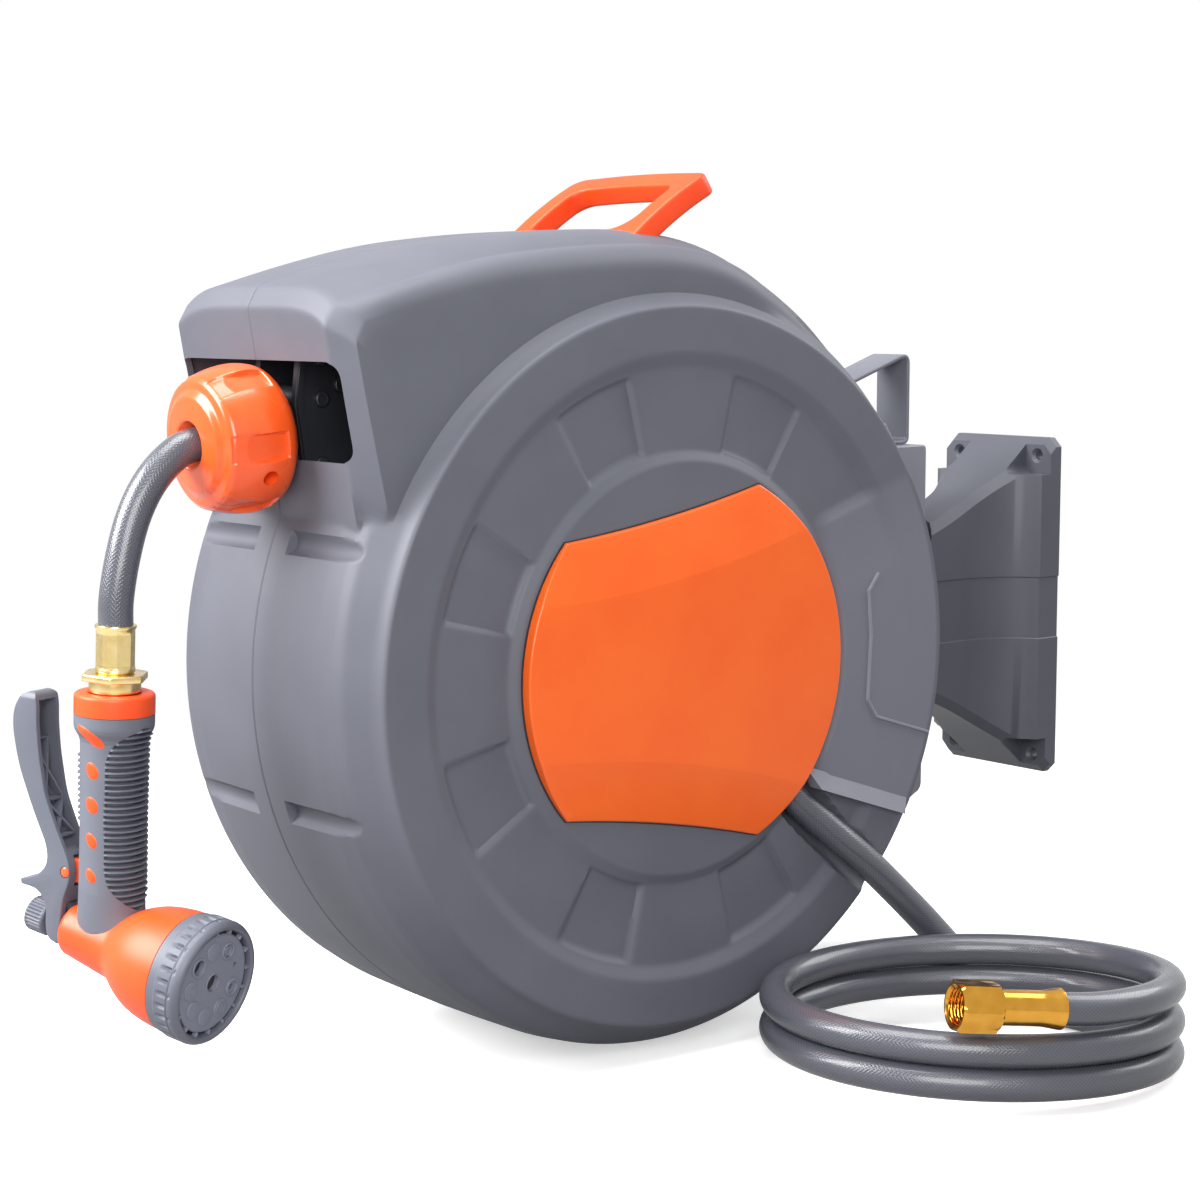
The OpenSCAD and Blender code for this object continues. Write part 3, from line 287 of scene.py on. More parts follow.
def round_rect(u0, u1, v0, v1, r, side=14, arc=8):
    """Rounded rectangle, each corner an arc of its own radius, with the same count of points for
    any size: r gives low-left, low-right, high-right and high-left."""
    t = np.linspace(0, np.pi / 2, arc)
    corners = ((u0, v0, 1, 1, 2), (u1, v0, -1, 1, 3), (u1, v1, -1, -1, 0), (u0, v1, 1, -1, 1))
    arcs = []
    for (u, v, su, sv, quarter), rk in zip(corners, r):
        a = quarter * np.pi / 2 + t
        arcs.append(np.stack([u + su * rk + rk * np.cos(a), v + sv * rk + rk * np.sin(a)], axis=1))
    loop = []
    for here, after in zip(arcs, arcs[1:] + arcs[:1]):
        run = np.linspace(0, 1, side + 2)[1:-1, None]
        loop += [here, here[-1] + run * (after[0] - here[-1])]
    return np.vstack(loop)


def carve(obj, part, offset=DRUM):
    """Cuts a closed form out of a piece and keeps the cut mesh on it."""
    verts, faces = part
    mesh = bpy.data.meshes.new("cutter")
    mesh.from_pydata(((verts + offset) * MM).tolist(), [], faces)
    turn_outward(mesh)
    cutter = add_object("cutter", mesh)
    cut = obj.modifiers.new("cut", "BOOLEAN")
    cut.operation, cut.object, cut.solver = "DIFFERENCE", cutter, "EXACT"
    old, finish = obj.data, obj.data.materials[0]
    solved = obj.evaluated_get(bpy.context.evaluated_depsgraph_get())
    obj.data = bpy.data.meshes.new_from_object(solved)
    obj.modifiers.clear()
    obj.data.materials.clear()
    obj.data.materials.append(finish)
    bpy.data.objects.remove(cutter)
    bpy.data.meshes.remove(mesh)
    bpy.data.meshes.remove(old)


def round_edges(obj, width):
    """Rounds the edges that turn more than 40 degrees, by a width in millimetres."""
    bevel = obj.modifiers.new("edges", "BEVEL")
    bevel.width, bevel.segments = width * MM, 2
    bevel.limit_method, bevel.angle_limit = "ANGLE", np.radians(40)
    bevel.harden_normals = True


def softened(name, node, finish, body, width):
    """Copy of a solid with its flat faces joined up and its edges rounded."""
    mesh = nodes[node].data.copy()
    mesh.name = name
    bm = bmesh.new()
    bm.from_mesh(mesh)
    bmesh.ops.remove_doubles(bm, verts=bm.verts, dist=1e-6)
    bmesh.ops.dissolve_limit(bm, angle_limit=np.radians(1), verts=bm.verts, edges=bm.edges)
    bm.to_mesh(mesh)
    bm.free()
    mesh.shade_smooth()
    mark_sharp(mesh, 30)
    mesh.materials.clear()
    mesh.materials.append(FINISH[finish])
    obj = add_object(name, mesh)
    round_edges(obj, width)
    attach(obj, body)
    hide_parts(node)


# Camera

def facing(place, back):
    """Placing matrix of a camera or lamp at a point, which looks against the direction back and
    stands upright."""
    back = unit(back)
    right = unit(np.cross(Z, back))
    m = np.eye(4)
    m[:3] = np.stack([right, np.cross(back, right), back, (np.asarray(place, float) + DRUM) * MM], axis=1)
    return Matrix(m.tolist())


def add_camera():
    """Camera fitted to the circles of the disc: 75 mm on a 36 mm sensor."""
    data = bpy.data.cameras.new("photo_camera")
    data.lens, data.sensor_width = 75, 36
    data.clip_end = 20
    cam = add_object("photo_camera", data)
    cam.matrix_world = facing([1149.3, -898.5, 200.1], [0.7768, -0.6191, 0.1160])
    bpy.context.scene.camera = cam


add_camera()
bpy.context.scene.view_settings.view_transform = "Standard"


# Finishes

def linear(code):
    """sRGB hex to linear red, green, blue and alpha."""
    c = np.array([int(code[k:k + 2], 16) for k in (1, 3, 5)]) / 255
    c = np.where(c <= 0.04045, c / 12.92, ((c + 0.055) / 1.055) ** 2.4)
    return (*c.tolist(), 1.0)


def add_node(tree, kind, inputs=None, **settings):
    """Adds one node, sets its settings, and fills its inputs with values or with
    (node, output) links."""
    n = tree.nodes.new(kind)
    for key, value in settings.items():
        setattr(n, key, value)
    for key, value in (inputs or {}).items():
        if isinstance(value, tuple) and len(value) == 2 and hasattr(value[0], "outputs"):
            tree.links.new(value[0].outputs[value[1]], n.inputs[key])
        else:
            n.inputs[key].default_value = value
    return n


def new_finish(name):
    """Empty node material and its tree."""
    mat = bpy.data.materials.new(name)
    mat.use_nodes = True
    mat.node_tree.nodes.clear()
    return mat, mat.node_tree


def close_finish(mat, tree, shader):
    """Links the last shader to the material's output."""
    out = add_node(tree, "ShaderNodeOutputMaterial")
    tree.links.new(shader.outputs[0], out.inputs["Surface"])
    return mat


def ramp(tree, fac, stops):
    """Colour ramp over a factor, from (place, hex) stops."""
    n = add_node(tree, "ShaderNodeValToRGB", {"Fac": fac})
    elements = n.color_ramp.elements
    while len(elements) < len(stops):
        elements.new(0.5)
    for e, (place, code) in zip(elements, stops):
        e.position, e.color = place, linear(code)
    return n


def moulded(name, tones, rough, grain_mm, bump, coat=0.0, grain_and_sheen_by=None):
    """Moulded plastic: broad, faint change of tone every 40 mm or so, fine spark-eroded grain in the
    surface and a little unevenness in its gloss. Where the named point attribute is 1, the grain stands
    up to eight times as high and the tone is lighter: a painted highlight for the light that a textured
    panel catches."""
    mat, tree = new_finish(name)
    at = add_node(tree, "ShaderNodeTexCoord")
    broad = add_node(tree, "ShaderNodeTexNoise", {
        "Vector": (at, "Object"), "Scale": 1 / (40 * MM), "Detail": 3.0, "Roughness": 0.5})
    tone = ramp(tree, (broad, "Fac"), [(0.3, tones[0]), (0.7, tones[1])])
    fine = add_node(tree, "ShaderNodeTexNoise", {
        "Vector": (at, "Object"), "Scale": 1 / (grain_mm * MM), "Detail": 2.0, "Roughness": 0.6})
    height = (fine, "Fac")
    if grain_and_sheen_by:
        more = add_node(tree, "ShaderNodeAttribute", attribute_name=grain_and_sheen_by)
        gain = add_node(tree, "ShaderNodeMath", {0: (more, "Fac"), 1: 7.0}, operation="MULTIPLY")
        gain = add_node(tree, "ShaderNodeMath", {0: (gain, 0), 1: 1.0}, operation="ADD")
        tall = add_node(tree, "ShaderNodeMath", {0: (fine, "Fac"), 1: (gain, 0)}, operation="MULTIPLY")
        height = (tall, 0)
        # Painted highlight: the tone turns lighter where the attribute is set, for the light the panel's
        # rough face catches.
        tone = add_node(tree, "ShaderNodeMix", {
            0: (more, "Fac"), 6: (tone, "Color"), 7: linear("#70727d")}, data_type="RGBA")
    relief = add_node(tree, "ShaderNodeBump", {
        "Height": height, "Strength": bump, "Distance": 0.0004})
    gloss = add_node(tree, "ShaderNodeMapRange", {
        "Value": (broad, "Fac"), "From Min": 0.3, "From Max": 0.7,
        "To Min": rough - 0.03, "To Max": rough + 0.03})
    shader = add_node(tree, "ShaderNodeBsdfPrincipled", {
        "Base Color": (tone, 2 if grain_and_sheen_by else 0), "Roughness": (gloss, "Result"), "IOR": 1.5,
        "Coat Weight": coat, "Coat Roughness": 0.12, "Normal": (relief, "Normal")})
    return close_finish(mat, tree, shader)


def machined(name, tones, rough, turn_mm):
    """Bare machined metal: fine tool marks as a noise in the surface, and slight tarnish in the tone
    and the gloss."""
    mat, tree = new_finish(name)
    at = add_node(tree, "ShaderNodeTexCoord")
    tarnish = add_node(tree, "ShaderNodeTexNoise", {
        "Vector": (at, "Object"), "Scale": 1 / (9 * MM), "Detail": 4.0})
    tone = ramp(tree, (tarnish, "Fac"), [(0.32, tones[0]), (0.68, tones[1])])
    lines = add_node(tree, "ShaderNodeTexNoise", {
        "Vector": (at, "Object"), "Scale": 1 / (turn_mm * MM), "Detail": 3.0})
    relief = add_node(tree, "ShaderNodeBump", {
        "Height": (lines, "Fac"), "Strength": 0.06, "Distance": 0.0002})
    gloss = add_node(tree, "ShaderNodeMapRange", {
        "Value": (tarnish, "Fac"), "From Min": 0.3, "From Max": 0.7,
        "To Min": rough - 0.05, "To Max": rough + 0.07})
    shader = add_node(tree, "ShaderNodeBsdfPrincipled", {
        "Base Color": (tone, "Color"), "Metallic": 1.0, "Roughness": (gloss, "Result"),
        "Normal": (relief, "Normal")})
    return close_finish(mat, tree, shader)


def braided_hose():
    """Clear-skinned PVC hose over a grey wall: 26 braid threads round the hose in each hand, 2.2 mm
    apart along it, stand up as fine crossing ridges under a thin gloss."""
    mat, tree = new_finish("braided_pvc_hose")
    uv = add_node(tree, "ShaderNodeUVMap", uv_map="UVMap")
    split = add_node(tree, "ShaderNodeSeparateXYZ", {"Vector": (uv, "UV")})
    waves = []
    for hand in (1.0, -1.0):
        turns = add_node(tree, "ShaderNodeMath", {0: (split, "X"), 1: hand * 26.0}, operation="MULTIPLY")
        run = add_node(tree, "ShaderNodeMath", {0: (split, "Y"), 1: 1 / 2.2}, operation="MULTIPLY")
        both = add_node(tree, "ShaderNodeMath", {0: (turns, 0), 1: (run, 0)}, operation="ADD")
        saw = add_node(tree, "ShaderNodeMath", {0: (both, 0), 1: 0.5}, operation="PINGPONG")
        waves.append(add_node(tree, "ShaderNodeMapRange", {
            "Value": (saw, 0), "From Min": 0.0, "From Max": 0.3, "To Min": 1.0, "To Max": 0.0}))
    thread = add_node(tree, "ShaderNodeMath", {0: (waves[0], "Result"), 1: (waves[1], "Result")},
                      operation="MAXIMUM")
    tone = ramp(tree, (thread, 0), [(0.0, "#494b54"), (1.0, "#565861")])
    relief = add_node(tree, "ShaderNodeBump", {
        "Height": (thread, 0), "Strength": 0.26, "Distance": 0.0004})
    shader = add_node(tree, "ShaderNodeBsdfPrincipled", {
        "Base Color": (tone, "Color"), "Roughness": 0.22, "IOR": 1.53, "Coat Weight": 0.5,
        "Coat Roughness": 0.14, "Normal": (relief, "Normal")})
    return close_finish(mat, tree, shader)


FINISH = {
    # Moulded plastics and a coated strip: a fine grain spreads the light into soft, broad highlights.
    # The case's panel takes a lighter tone from its point attribute: a painted highlight over the real grain.
    "case": moulded("moulded_abs_grey", ("#5a5c66", "#5f616b"), 0.55, 0.8, 0.10, grain_and_sheen_by="grain_and_sheen"),
    # Panel strips: lighter than the case as a painted highlight for their lit faces, over a real coarse
    # grain.
    "panel": moulded("grained_abs_strip_painted_light", ("#82848f", "#888a95"), 0.6, 0.8, 0.5),
    # Bracket: the case's grey painted darker, as painted shade for the bracket lying in the case's shadow.
    "bracket": moulded("moulded_grey_painted_shade", ("#4b4d56", "#50525b"), 0.5, 0.8, 0.10),
    "block": moulded("moulded_abs_light_grey", ("#7d7f8a", "#83858f"), 0.45, 0.8, 0.10),
    "strap": moulded("powder_coated_strip", ("#6a6c76", "#70727c"), 0.42, 0.6, 0.12),
    # Orange mouldings: smoother, with a clearer highlight, and the stopper has a glossy skin.
    "badge": moulded("satin_orange_plate", ("#fa6212", "#fc6a18"), 0.34, 0.6, 0.04, coat=0.15),
    "handle": moulded("moulded_orange_handle", ("#f8440a", "#fc4c10"), 0.45, 0.7, 0.05),
    "stopper": moulded("gloss_orange_moulding", ("#fb561c", "#ff642a"), 0.27, 0.7, 0.03, coat=0.3),
    "nozzle": moulded("satin_orange_moulding", ("#f85018", "#fb5820"), 0.42, 0.7, 0.04),
    # Nozzle and inside parts: dull rubber and satin plastic; the last one is a near-black sheet of painted
    # shade for gaps, slots and the bottoms of holes.
    "grip": moulded("soft_rubber_grip", ("#666974", "#6d707b"), 0.6, 0.5, 0.16),
    "lever": moulded("moulded_grey_lever", ("#5f626d", "#656873"), 0.46, 0.6, 0.10),
    "dial": moulded("moulded_grey_dial", ("#787b89", "#7f8290"), 0.46, 0.6, 0.10),
    "guide": moulded("moulded_black_guide", ("#25262a", "#2c2d32"), 0.36, 0.6, 0.08),
    "drum": moulded("moulded_dark_drum", ("#2a2b30", "#303136"), 0.5, 0.8, 0.10),
    "shade": moulded("painted_shade_black", ("#202126", "#26272c"), 0.55, 0.6, 0.10),
    # Bare metals: sharp reflections of the room, a little uneven where they have tarnished.
    "steel": machined("bright_steel", ("#b3b6bc", "#c6c9ce"), 0.28, 0.5),
    "brass": machined("turned_brass", ("#e8ca80", "#f2dca4"), 0.22, 0.5),
    "gold": machined("polished_brass", ("#d89a38", "#e2a846"), 0.15, 0.5),
    # Clear-skinned hose: a bright line runs along it, broken up by the braid.
    "hose": braided_hose(),
}
CAD_FINISH = {
    "case_plastic": "case", "block_plastic": "block", "strap_metal": "strap",
    "badge_plastic": "badge", "handle_plastic": "handle", "stopper_plastic": "stopper",
    "drum_plastic": "drum", "guide_plastic": "guide", "grip_plastic": "dial",
    "grip_rubber": "grip", "hose": "hose", "steel": "steel", "brass": "brass",
}
for row in frame["record"]["subparts"]:
    mesh = nodes[row["node"]].data
    mesh.materials.clear()
    mesh.materials.append(FINISH[CAD_FINISH[row["material_slot"]]])


# Floor and light

def add_floor():
    """Pale floor, a wide square whose edge is out of sight: the object's shadow is kept near it,
    and the camera sees the floor fade to white further out, while it lights the object less and its
    reflections are about a third as bright."""
    mat, tree = new_finish("pale_floor")
    path = add_node(tree, "ShaderNodeLightPath")
    plain = add_node(tree, "ShaderNodeBsdfDiffuse", {"Color": linear("#f4f4f5")})
    dim = add_node(tree, "ShaderNodeBsdfDiffuse", {"Color": linear("#7c7c7e")})
    white = add_node(tree, "ShaderNodeEmission", {"Color": linear("#ffffff"), "Strength": 0.5})
    both = add_node(tree, "ShaderNodeAddShader", {0: (plain, 0), 1: (white, 0)})
    seen = add_node(tree, "ShaderNodeMath", {0: (path, "Is Camera Ray"), 1: (path, "Is Transmission Ray")},
                    operation="MAXIMUM")
    shine = add_node(tree, "ShaderNodeMath", {0: (path, "Is Glossy Ray"), 1: 0.3}, operation="MULTIPLY")
    seen = add_node(tree, "ShaderNodeMath", {0: (seen, 0), 1: (shine, 0)}, operation="MAXIMUM")
    mix = add_node(tree, "ShaderNodeMixShader", {0: (seen, 0), 1: (dim, 0), 2: (both, 0)})
    at = add_node(tree, "ShaderNodeTexCoord")
    away = add_node(tree, "ShaderNodeVectorMath", {0: (at, "Object"), 1: (0.0, -0.25, -0.225)},
                    operation="DISTANCE")
    far = add_node(tree, "ShaderNodeMapRange", {
        "Value": (away, "Value"), "From Min": 0.45, "From Max": 1.2}, interpolation_type="SMOOTHSTEP")
    edge = add_node(tree, "ShaderNodeMath", {0: (far, "Result"), 1: (seen, 0)}, operation="MULTIPLY")
    blank = add_node(tree, "ShaderNodeEmission", {"Color": linear("#ffffff"), "Strength": 1.0})
    mix = add_node(tree, "ShaderNodeMixShader", {0: (edge, 0), 1: (mix, 0), 2: (blank, 0)})
    close_finish(mat, tree, mix)
    half, z = 6000.0, FLOOR_Z - 0.6
    square = np.array([[-half, -half, z], [half, -half, z], [half, half, z], [-half, half, z]])
    mesh = bpy.data.meshes.new("floor")
    mesh.from_pydata(((square + DRUM) * MM).tolist(), [], [[0, 1, 2, 3]])
    mesh.materials.append(mat)
    obj = add_object("floor", mesh)


def add_lamp(name, place, size, watts):
    """Square soft box, its side in metres, that faces the drum's centre."""
    data = bpy.data.lights.new(name, "AREA")
    data.shape, data.size, data.energy = "SQUARE", size, watts
    lamp = add_object(name, data)
    lamp.matrix_world = facing(place, place)


def add_light():
    """White room seen by the camera and by reflections, a dimmer one for the object, a large
    soft box in front and to the left, one overhead, a weak one on the disc's side and one behind."""
    world = bpy.data.worlds.new("white_room")
    bpy.context.scene.world = world
    world.use_nodes = True
    tree = world.node_tree
    tree.nodes.clear()
    path = add_node(tree, "ShaderNodeLightPath")
    seen = add_node(tree, "ShaderNodeMath", {0: (path, "Is Camera Ray"), 1: (path, "Is Transmission Ray")},
                    operation="MAXIMUM")
    shine = add_node(tree, "ShaderNodeMapRange", {
        "Value": (path, "Is Glossy Ray"), "To Min": 0.2, "To Max": 0.8})
    room = add_node(tree, "ShaderNodeBackground", {"Color": linear("#ffffff"), "Strength": (shine, "Result")})
    bright = add_node(tree, "ShaderNodeBackground", {"Color": linear("#ffffff"), "Strength": 1.0})
    mix = add_node(tree, "ShaderNodeMixShader", {0: (seen, 0), 1: (room, 0), 2: (bright, 0)})
    out = add_node(tree, "ShaderNodeOutputWorld")
    tree.links.new(mix.outputs[0], out.inputs["Surface"])
    add_lamp("key_box", [-700, -1700, 1150], 1.3, 88)
    add_lamp("side_box", [1150, -950, 500], 0.8, 17)
    add_lamp("top_box", [0, -300, 1900], 1.2, 36)
    add_lamp("rim_box", [500, 1400, 1100], 1.0, 16)


add_floor()
add_light()


# Hoses

COIL_TURN, COIL_FROM, COIL_SWEEP = 51.5, 62.0, 827.0
COIL_A, COIL_B, COIL_PITCH, COIL_REST = 110.0, 88.0, 19.4, 18.3
COIL_CENTRE = np.array([211.0, 115.0, 0.0])
TAIL_TOE, TAIL_RISE = 16.0, 6.0
INLET_ANGLE = 43.5

long_c, long_s = deg_cos_sin(COIL_TURN)
COIL_LONG = np.array([long_c, long_s, 0])
COIL_CROSS = np.array([long_s, -long_c, 0])


def coil_points(count):
    """Oval helix: centre + a cos t along the long axis + b sin t across it. Each turn rests on the
    one below it, and the last third of a turn climbs to the full pitch."""
    i = np.linspace(0, 1, count)
    c, s = deg_cos_sin(COIL_FROM - COIL_SWEEP * (1 - i))
    turns = COIL_SWEEP / 360 * i
    climb = smoothstep(turns[-1] - 0.36, turns[-1], turns)
    z = HOSE_R + FLOOR_Z + COIL_REST * turns + (COIL_PITCH - COIL_REST) * turns[-1] * climb
    return (COIL_CENTRE + COIL_A * c[:, None] * COIL_LONG + COIL_B * s[:, None] * COIL_CROSS
            + z[:, None] * Z)


coil_coarse = coil_points(56)
low_dir = unit(np.append(coil_coarse[1, :2] - coil_coarse[0, :2], 0))
coil_low = coil_coarse[0] - 2 * HOSE_R * low_dir
toe_c, toe_s = deg_cos_sin(TAIL_TOE)
TAIL_DIR = unit(toe_s * COIL_CROSS - toe_c * COIL_LONG + np.tan(np.radians(TAIL_RISE)) * Z)
COIL_END = coil_coarse[-1] + 2 * HOSE_R * TAIL_DIR
in_c, in_s = deg_cos_sin(INLET_ANGLE)
inside_run = np.array([[84, 48], [84, 66], [86, 90], [89, 114], [98, 150], [109, 185]], float)
drop_points = np.vstack([
    np.stack([inside_run[:, 0], inside_run[:, 1] * in_c, -inside_run[:, 1] * in_s], axis=1),
    [[118, 172, -165], [131, 197, -196], [152, 208, -211]],
    [coil_low - 2 * HOSE_R * low_dir, coil_low],
])
inlet_line = np.vstack([
    smooth_curve(drop_points, 8)[:-1], [coil_low], coil_points(331),
    [coil_coarse[-1] + HOSE_R * TAIL_DIR], [COIL_END]])


def smoothed(line, passes):
    """Line with each inner point moved halfway to the middle of its neighbours, repeatedly."""
    line = line.copy()
    for _ in range(passes):
        line[1:-1] = 0.5 * line[1:-1] + 0.25 * (line[:-2] + line[2:])
    return line


inlet_line = smoothed(resampled(inlet_line, 520), 12)
HOSE_SIDES = 28
verts, faces = tube_part(inlet_line, HOSE_R, HOSE_SIDES, unit([0.35, 0.2, 1.0]))
inlet_hose = put_mesh("inlet_hose", verts, faces, "hose", "case",
                      ("inlet_hose_drop", "inlet_hose_coil"),
                      uv=tube_uv(inlet_line, HOSE_SIDES), edge_angle=50, recalc=False)

lead_points = [
    [0, -172, 136.7], [0, -208, 133.5], [0, -252, 129.7], [0, -266, 123.5], [0.3, -279, 111],
    [0.8, -289, 94], [1, -295.8, 73], [0.6, -299.8, 52], [0, -300, 39]]
lead_line = smoothed(resampled(smooth_curve(lead_points, 10), 90), 4)
verts, faces = tube_part(lead_line, HOSE_R, HOSE_SIDES, X)
lead_hose = put_mesh("lead_hose", verts, faces, "hose", "guide", ("hose_lead",),
                     uv=tube_uv(lead_line, HOSE_SIDES), edge_angle=50, recalc=False)

WIND_PITCH, WIND_TURNS, WIND_SIDES = 18.75, 7, 20
LAYERS_R, LAYERS_HALF = 75.0 + 4 * 2 * HOSE_R, 65.6
WIND_R = (LAYERS_R + HOSE_R + 0.3) / np.cos(np.radians(7.5))
wind_i = np.linspace(0, WIND_TURNS - 1, (WIND_TURNS - 1) * 72 + 1)
wind_line = np.stack([WIND_PITCH * (wind_i - (WIND_TURNS - 1) / 2),
                      WIND_R * np.cos(2 * np.pi * wind_i), WIND_R * np.sin(2 * np.pi * wind_i)], axis=1)
wind_line = np.vstack([wind_line[:1] - 2 * HOSE_R * Z, wind_line, wind_line[-1:] + 2 * HOSE_R * Z])
verts, faces = tube_part(wind_line, HOSE_R, WIND_SIDES, X)
put_mesh("wound_hose_turns", verts, faces, "hose", "drum", ("wound_hose",),
         uv=tube_uv(wind_line, WIND_SIDES), edge_angle=50, recalc=False)


# Case shell

SEAM_R, SIDE_X, CORNER = 220.0, 88.0, 14.0
CORNER_X, CORNER_R, WALL_R = SIDE_X - CORNER, 217.3, 208.7
RIM_X, RIM_R, DISH_X, HUB_X = 100.0, 202.0, 96.0, 99.0
SHELL_T, SEAM_STEP, SEAM_W = 3.0, 0.8, 0.9
BAY_DEPTH, BAY_HALF_DEG, BAY_DEGS = 2.8, 9.25, (22.5, 67.5, 112.5, -22.5, -67.5, -112.5)
ROOF_FALL = 22.0
FACE_FRONT = np.array([
    [-150, -100], [-200.7, 90], [-219.4, 201], [-213, 212], [-170, 224.5], [-122, 236], [-60, 243],
    [0, 245], [40, 240], [80, 222], [110, 203], [135, 180], [150, 161], [190, 110]], float)
TROUGHS = (20.5, -18.0)
TROUGH_R, TROUGH_AXIS, TROUGH_END = 6.4, 220.8, 16.0
CHANNEL_R, CHANNEL_X, CHANNEL_FROM, CHANNEL_START = 15.0, 86.0, 70.0, 84.0
CHANNEL_SLOPE = np.tan(np.radians(10))


def roof_line():
    """Outlet face and roof in (y, z): straight runs with rounded corners, densely sampled."""
    return resampled(filleted(FACE_FRONT, [0, 2, 1.6, 2.5, 30, 30, 30, 30, 30, 30, 20, 20, 6, 0], 8), 900)


ROOF_LINE = roof_line()


def face_radius(phi, x):
    """Distance from the drum axis to the outlet face and roof, for each angle up from the front
    (degrees) at one station across; the roof falls as the fifth power of the station."""
    fall = ROOF_FALL * (np.abs(x) / SIDE_X) ** 5
    y, z = ROOF_LINE[:, 0], ROOF_LINE[:, 1] - fall * smoothstep(60, 200, ROOF_LINE[:, 1])
    ang, r = np.degrees(np.arctan2(z, -y)), np.hypot(y, z)
    order = np.argsort(ang)
    return np.interp(phi, ang[order], r[order], left=0.0, right=0.0)


def soft_max(a, b, blend):
    """Larger of two values, rounded where they cross over the blend length."""
    h = np.clip(0.5 + 0.5 * (a - b) / blend, 0, 1)
    return b + (a - b) * h + blend * h * (1 - h)


def trough_radius(phi, x, r, axis_gain):
    """Radius of the skin after the hand troughs: round channels along X that end flat near the
    seam, whose axis lies just outside the case."""
    for centre in TROUGHS:
        across = np.radians(phi - centre) * SEAM_R
        reach = ((TROUGH_R + axis_gain) ** 2 - across ** 2) * (x > TROUGH_END - axis_gain)
        floor = TROUGH_AXIS - np.sqrt(np.clip(reach, 0, None))
        r = np.where(reach > 0, np.minimum(r, floor), r)
    return r


def line_side(y, z, a, b):
    """Signed distance from the line a-b in the (y, z) plane, positive to its left."""
    d = unit(np.array(b, float) - a)
    return d[0] * (z - a[1]) - d[1] * (y - a[0])


def panel_height(y, z):
    """Height of the grained panel on the wall side of the disc, as a share of the ring's depth: it
    rises quickly and then gently over the upper band, stays level, and ends under the lower ledge."""
    top, low = (np.array(p, float) for p in ([[109.8, 83.5], [172.8, 105.4]], [[143, 43], [193, 61]]))
    d_top, d_low = -line_side(y, z, top[0], top[1]), -line_side(y, z, low[0], low[1])
    rise = 0.6 * np.clip(d_top / 7, 0, 1) + 0.4 * np.clip(d_top / np.clip(d_top - d_low, 1, None), 0, 1)
    return rise * smoothstep(0.5, 4.0, line_side(y, z, LIP[0], LIP[1])) * smoothstep(95, 112, y)


LEDGE, LIP = (np.array(p) for p in ([[91.3, -65.3], [175.6, -93.0]], [[100.6, -79.8], [170.1, -103.1]]))
DECOR = np.array([[148.8, 44.1], [140.7, 33.9], [143.2, 8], [141, -30.7], [148.7, -41.8], [192.4, -55.5]])


def panel_strips(side):
    """Ledge under the panel, a wedge that climbs 5 mm from its upper line to its lip, and the raised
    line on the panel, a flat-topped ridge carried along its bends. Both are a lighter grey than the case,
    a painted highlight for their lit edges and facets."""
    top = np.array([99.4, 99.4, 104.2, 104.2])
    flat = np.vstack([LEDGE, LIP[::-1]])
    wedge = [[side * x, y, z] for (y, z), x in zip(flat, top)] + [[side * 94, y, z] for y, z in flat]
    parts = [(wedge, capped_faces(2, len(flat)))]
    run = unit(np.diff(DECOR, axis=0))
    across = unit(np.vstack([run[:1], run]) + np.vstack([run, run[-1:]]))[:, ::-1] * [-1, 1]
    section = np.array([[-1.7, 98.6], [-0.7, 101.2], [0.5, 101.2], [1.3, 98.6]])
    line = DECOR[:, None] + section[None, :, :1] * across[:, None]
    verts = np.concatenate([np.broadcast_to(side * section[None, :, 1:], (len(DECOR), 4, 1)), line], axis=-1)
    verts, faces = join_parts(parts + [(verts, capped_faces(len(DECOR), len(section)))])
    put_mesh("panel_strips_" + ("right" if side > 0 else "left"), verts, faces, "panel", "case",
             smooth=False)


def disc_relief(phi, r, x, inlet_side, inset):
    """Station of the disc's skin after its bays, which are BAY_DEPTH deep, its panel, which is level
    with the rim, and its inlet channel, a sloping round groove, moved in by inset."""
    c, s = np.cos(np.radians(phi)), np.sin(np.radians(phi))
    y, z = -r * c, r * s
    ring = smoothstep(121, 125, r) * (1 - smoothstep(164, 168.5, r))
    pocket = np.zeros_like(r)
    for centre in BAY_DEGS:
        gap = np.abs((phi - centre + 180) % 360 - 180)
        pocket = np.maximum(pocket, smoothstep(-1.3, 1.6, np.radians(BAY_HALF_DEG - gap) * r))
    x = x - BAY_DEPTH * pocket * ring
    panel = panel_height(y, z) * smoothstep(118, 124, r) * (r < RIM_R)
    x = x + np.clip(RIM_X - 0.1 - x, 0, None) * panel - inset
    if inlet_side:
        run = y * in_c - z * in_s
        across = y * in_s + z * in_c
        reach = (CHANNEL_R + inset) ** 2 - across ** 2
        floor = CHANNEL_X + (run - CHANNEL_FROM) * CHANNEL_SLOPE - np.sqrt(np.clip(reach, 0, None))
        x = np.where((reach > 0) & (run > CHANNEL_START - 1.5 * inset), np.minimum(x, floor), x)
    return x


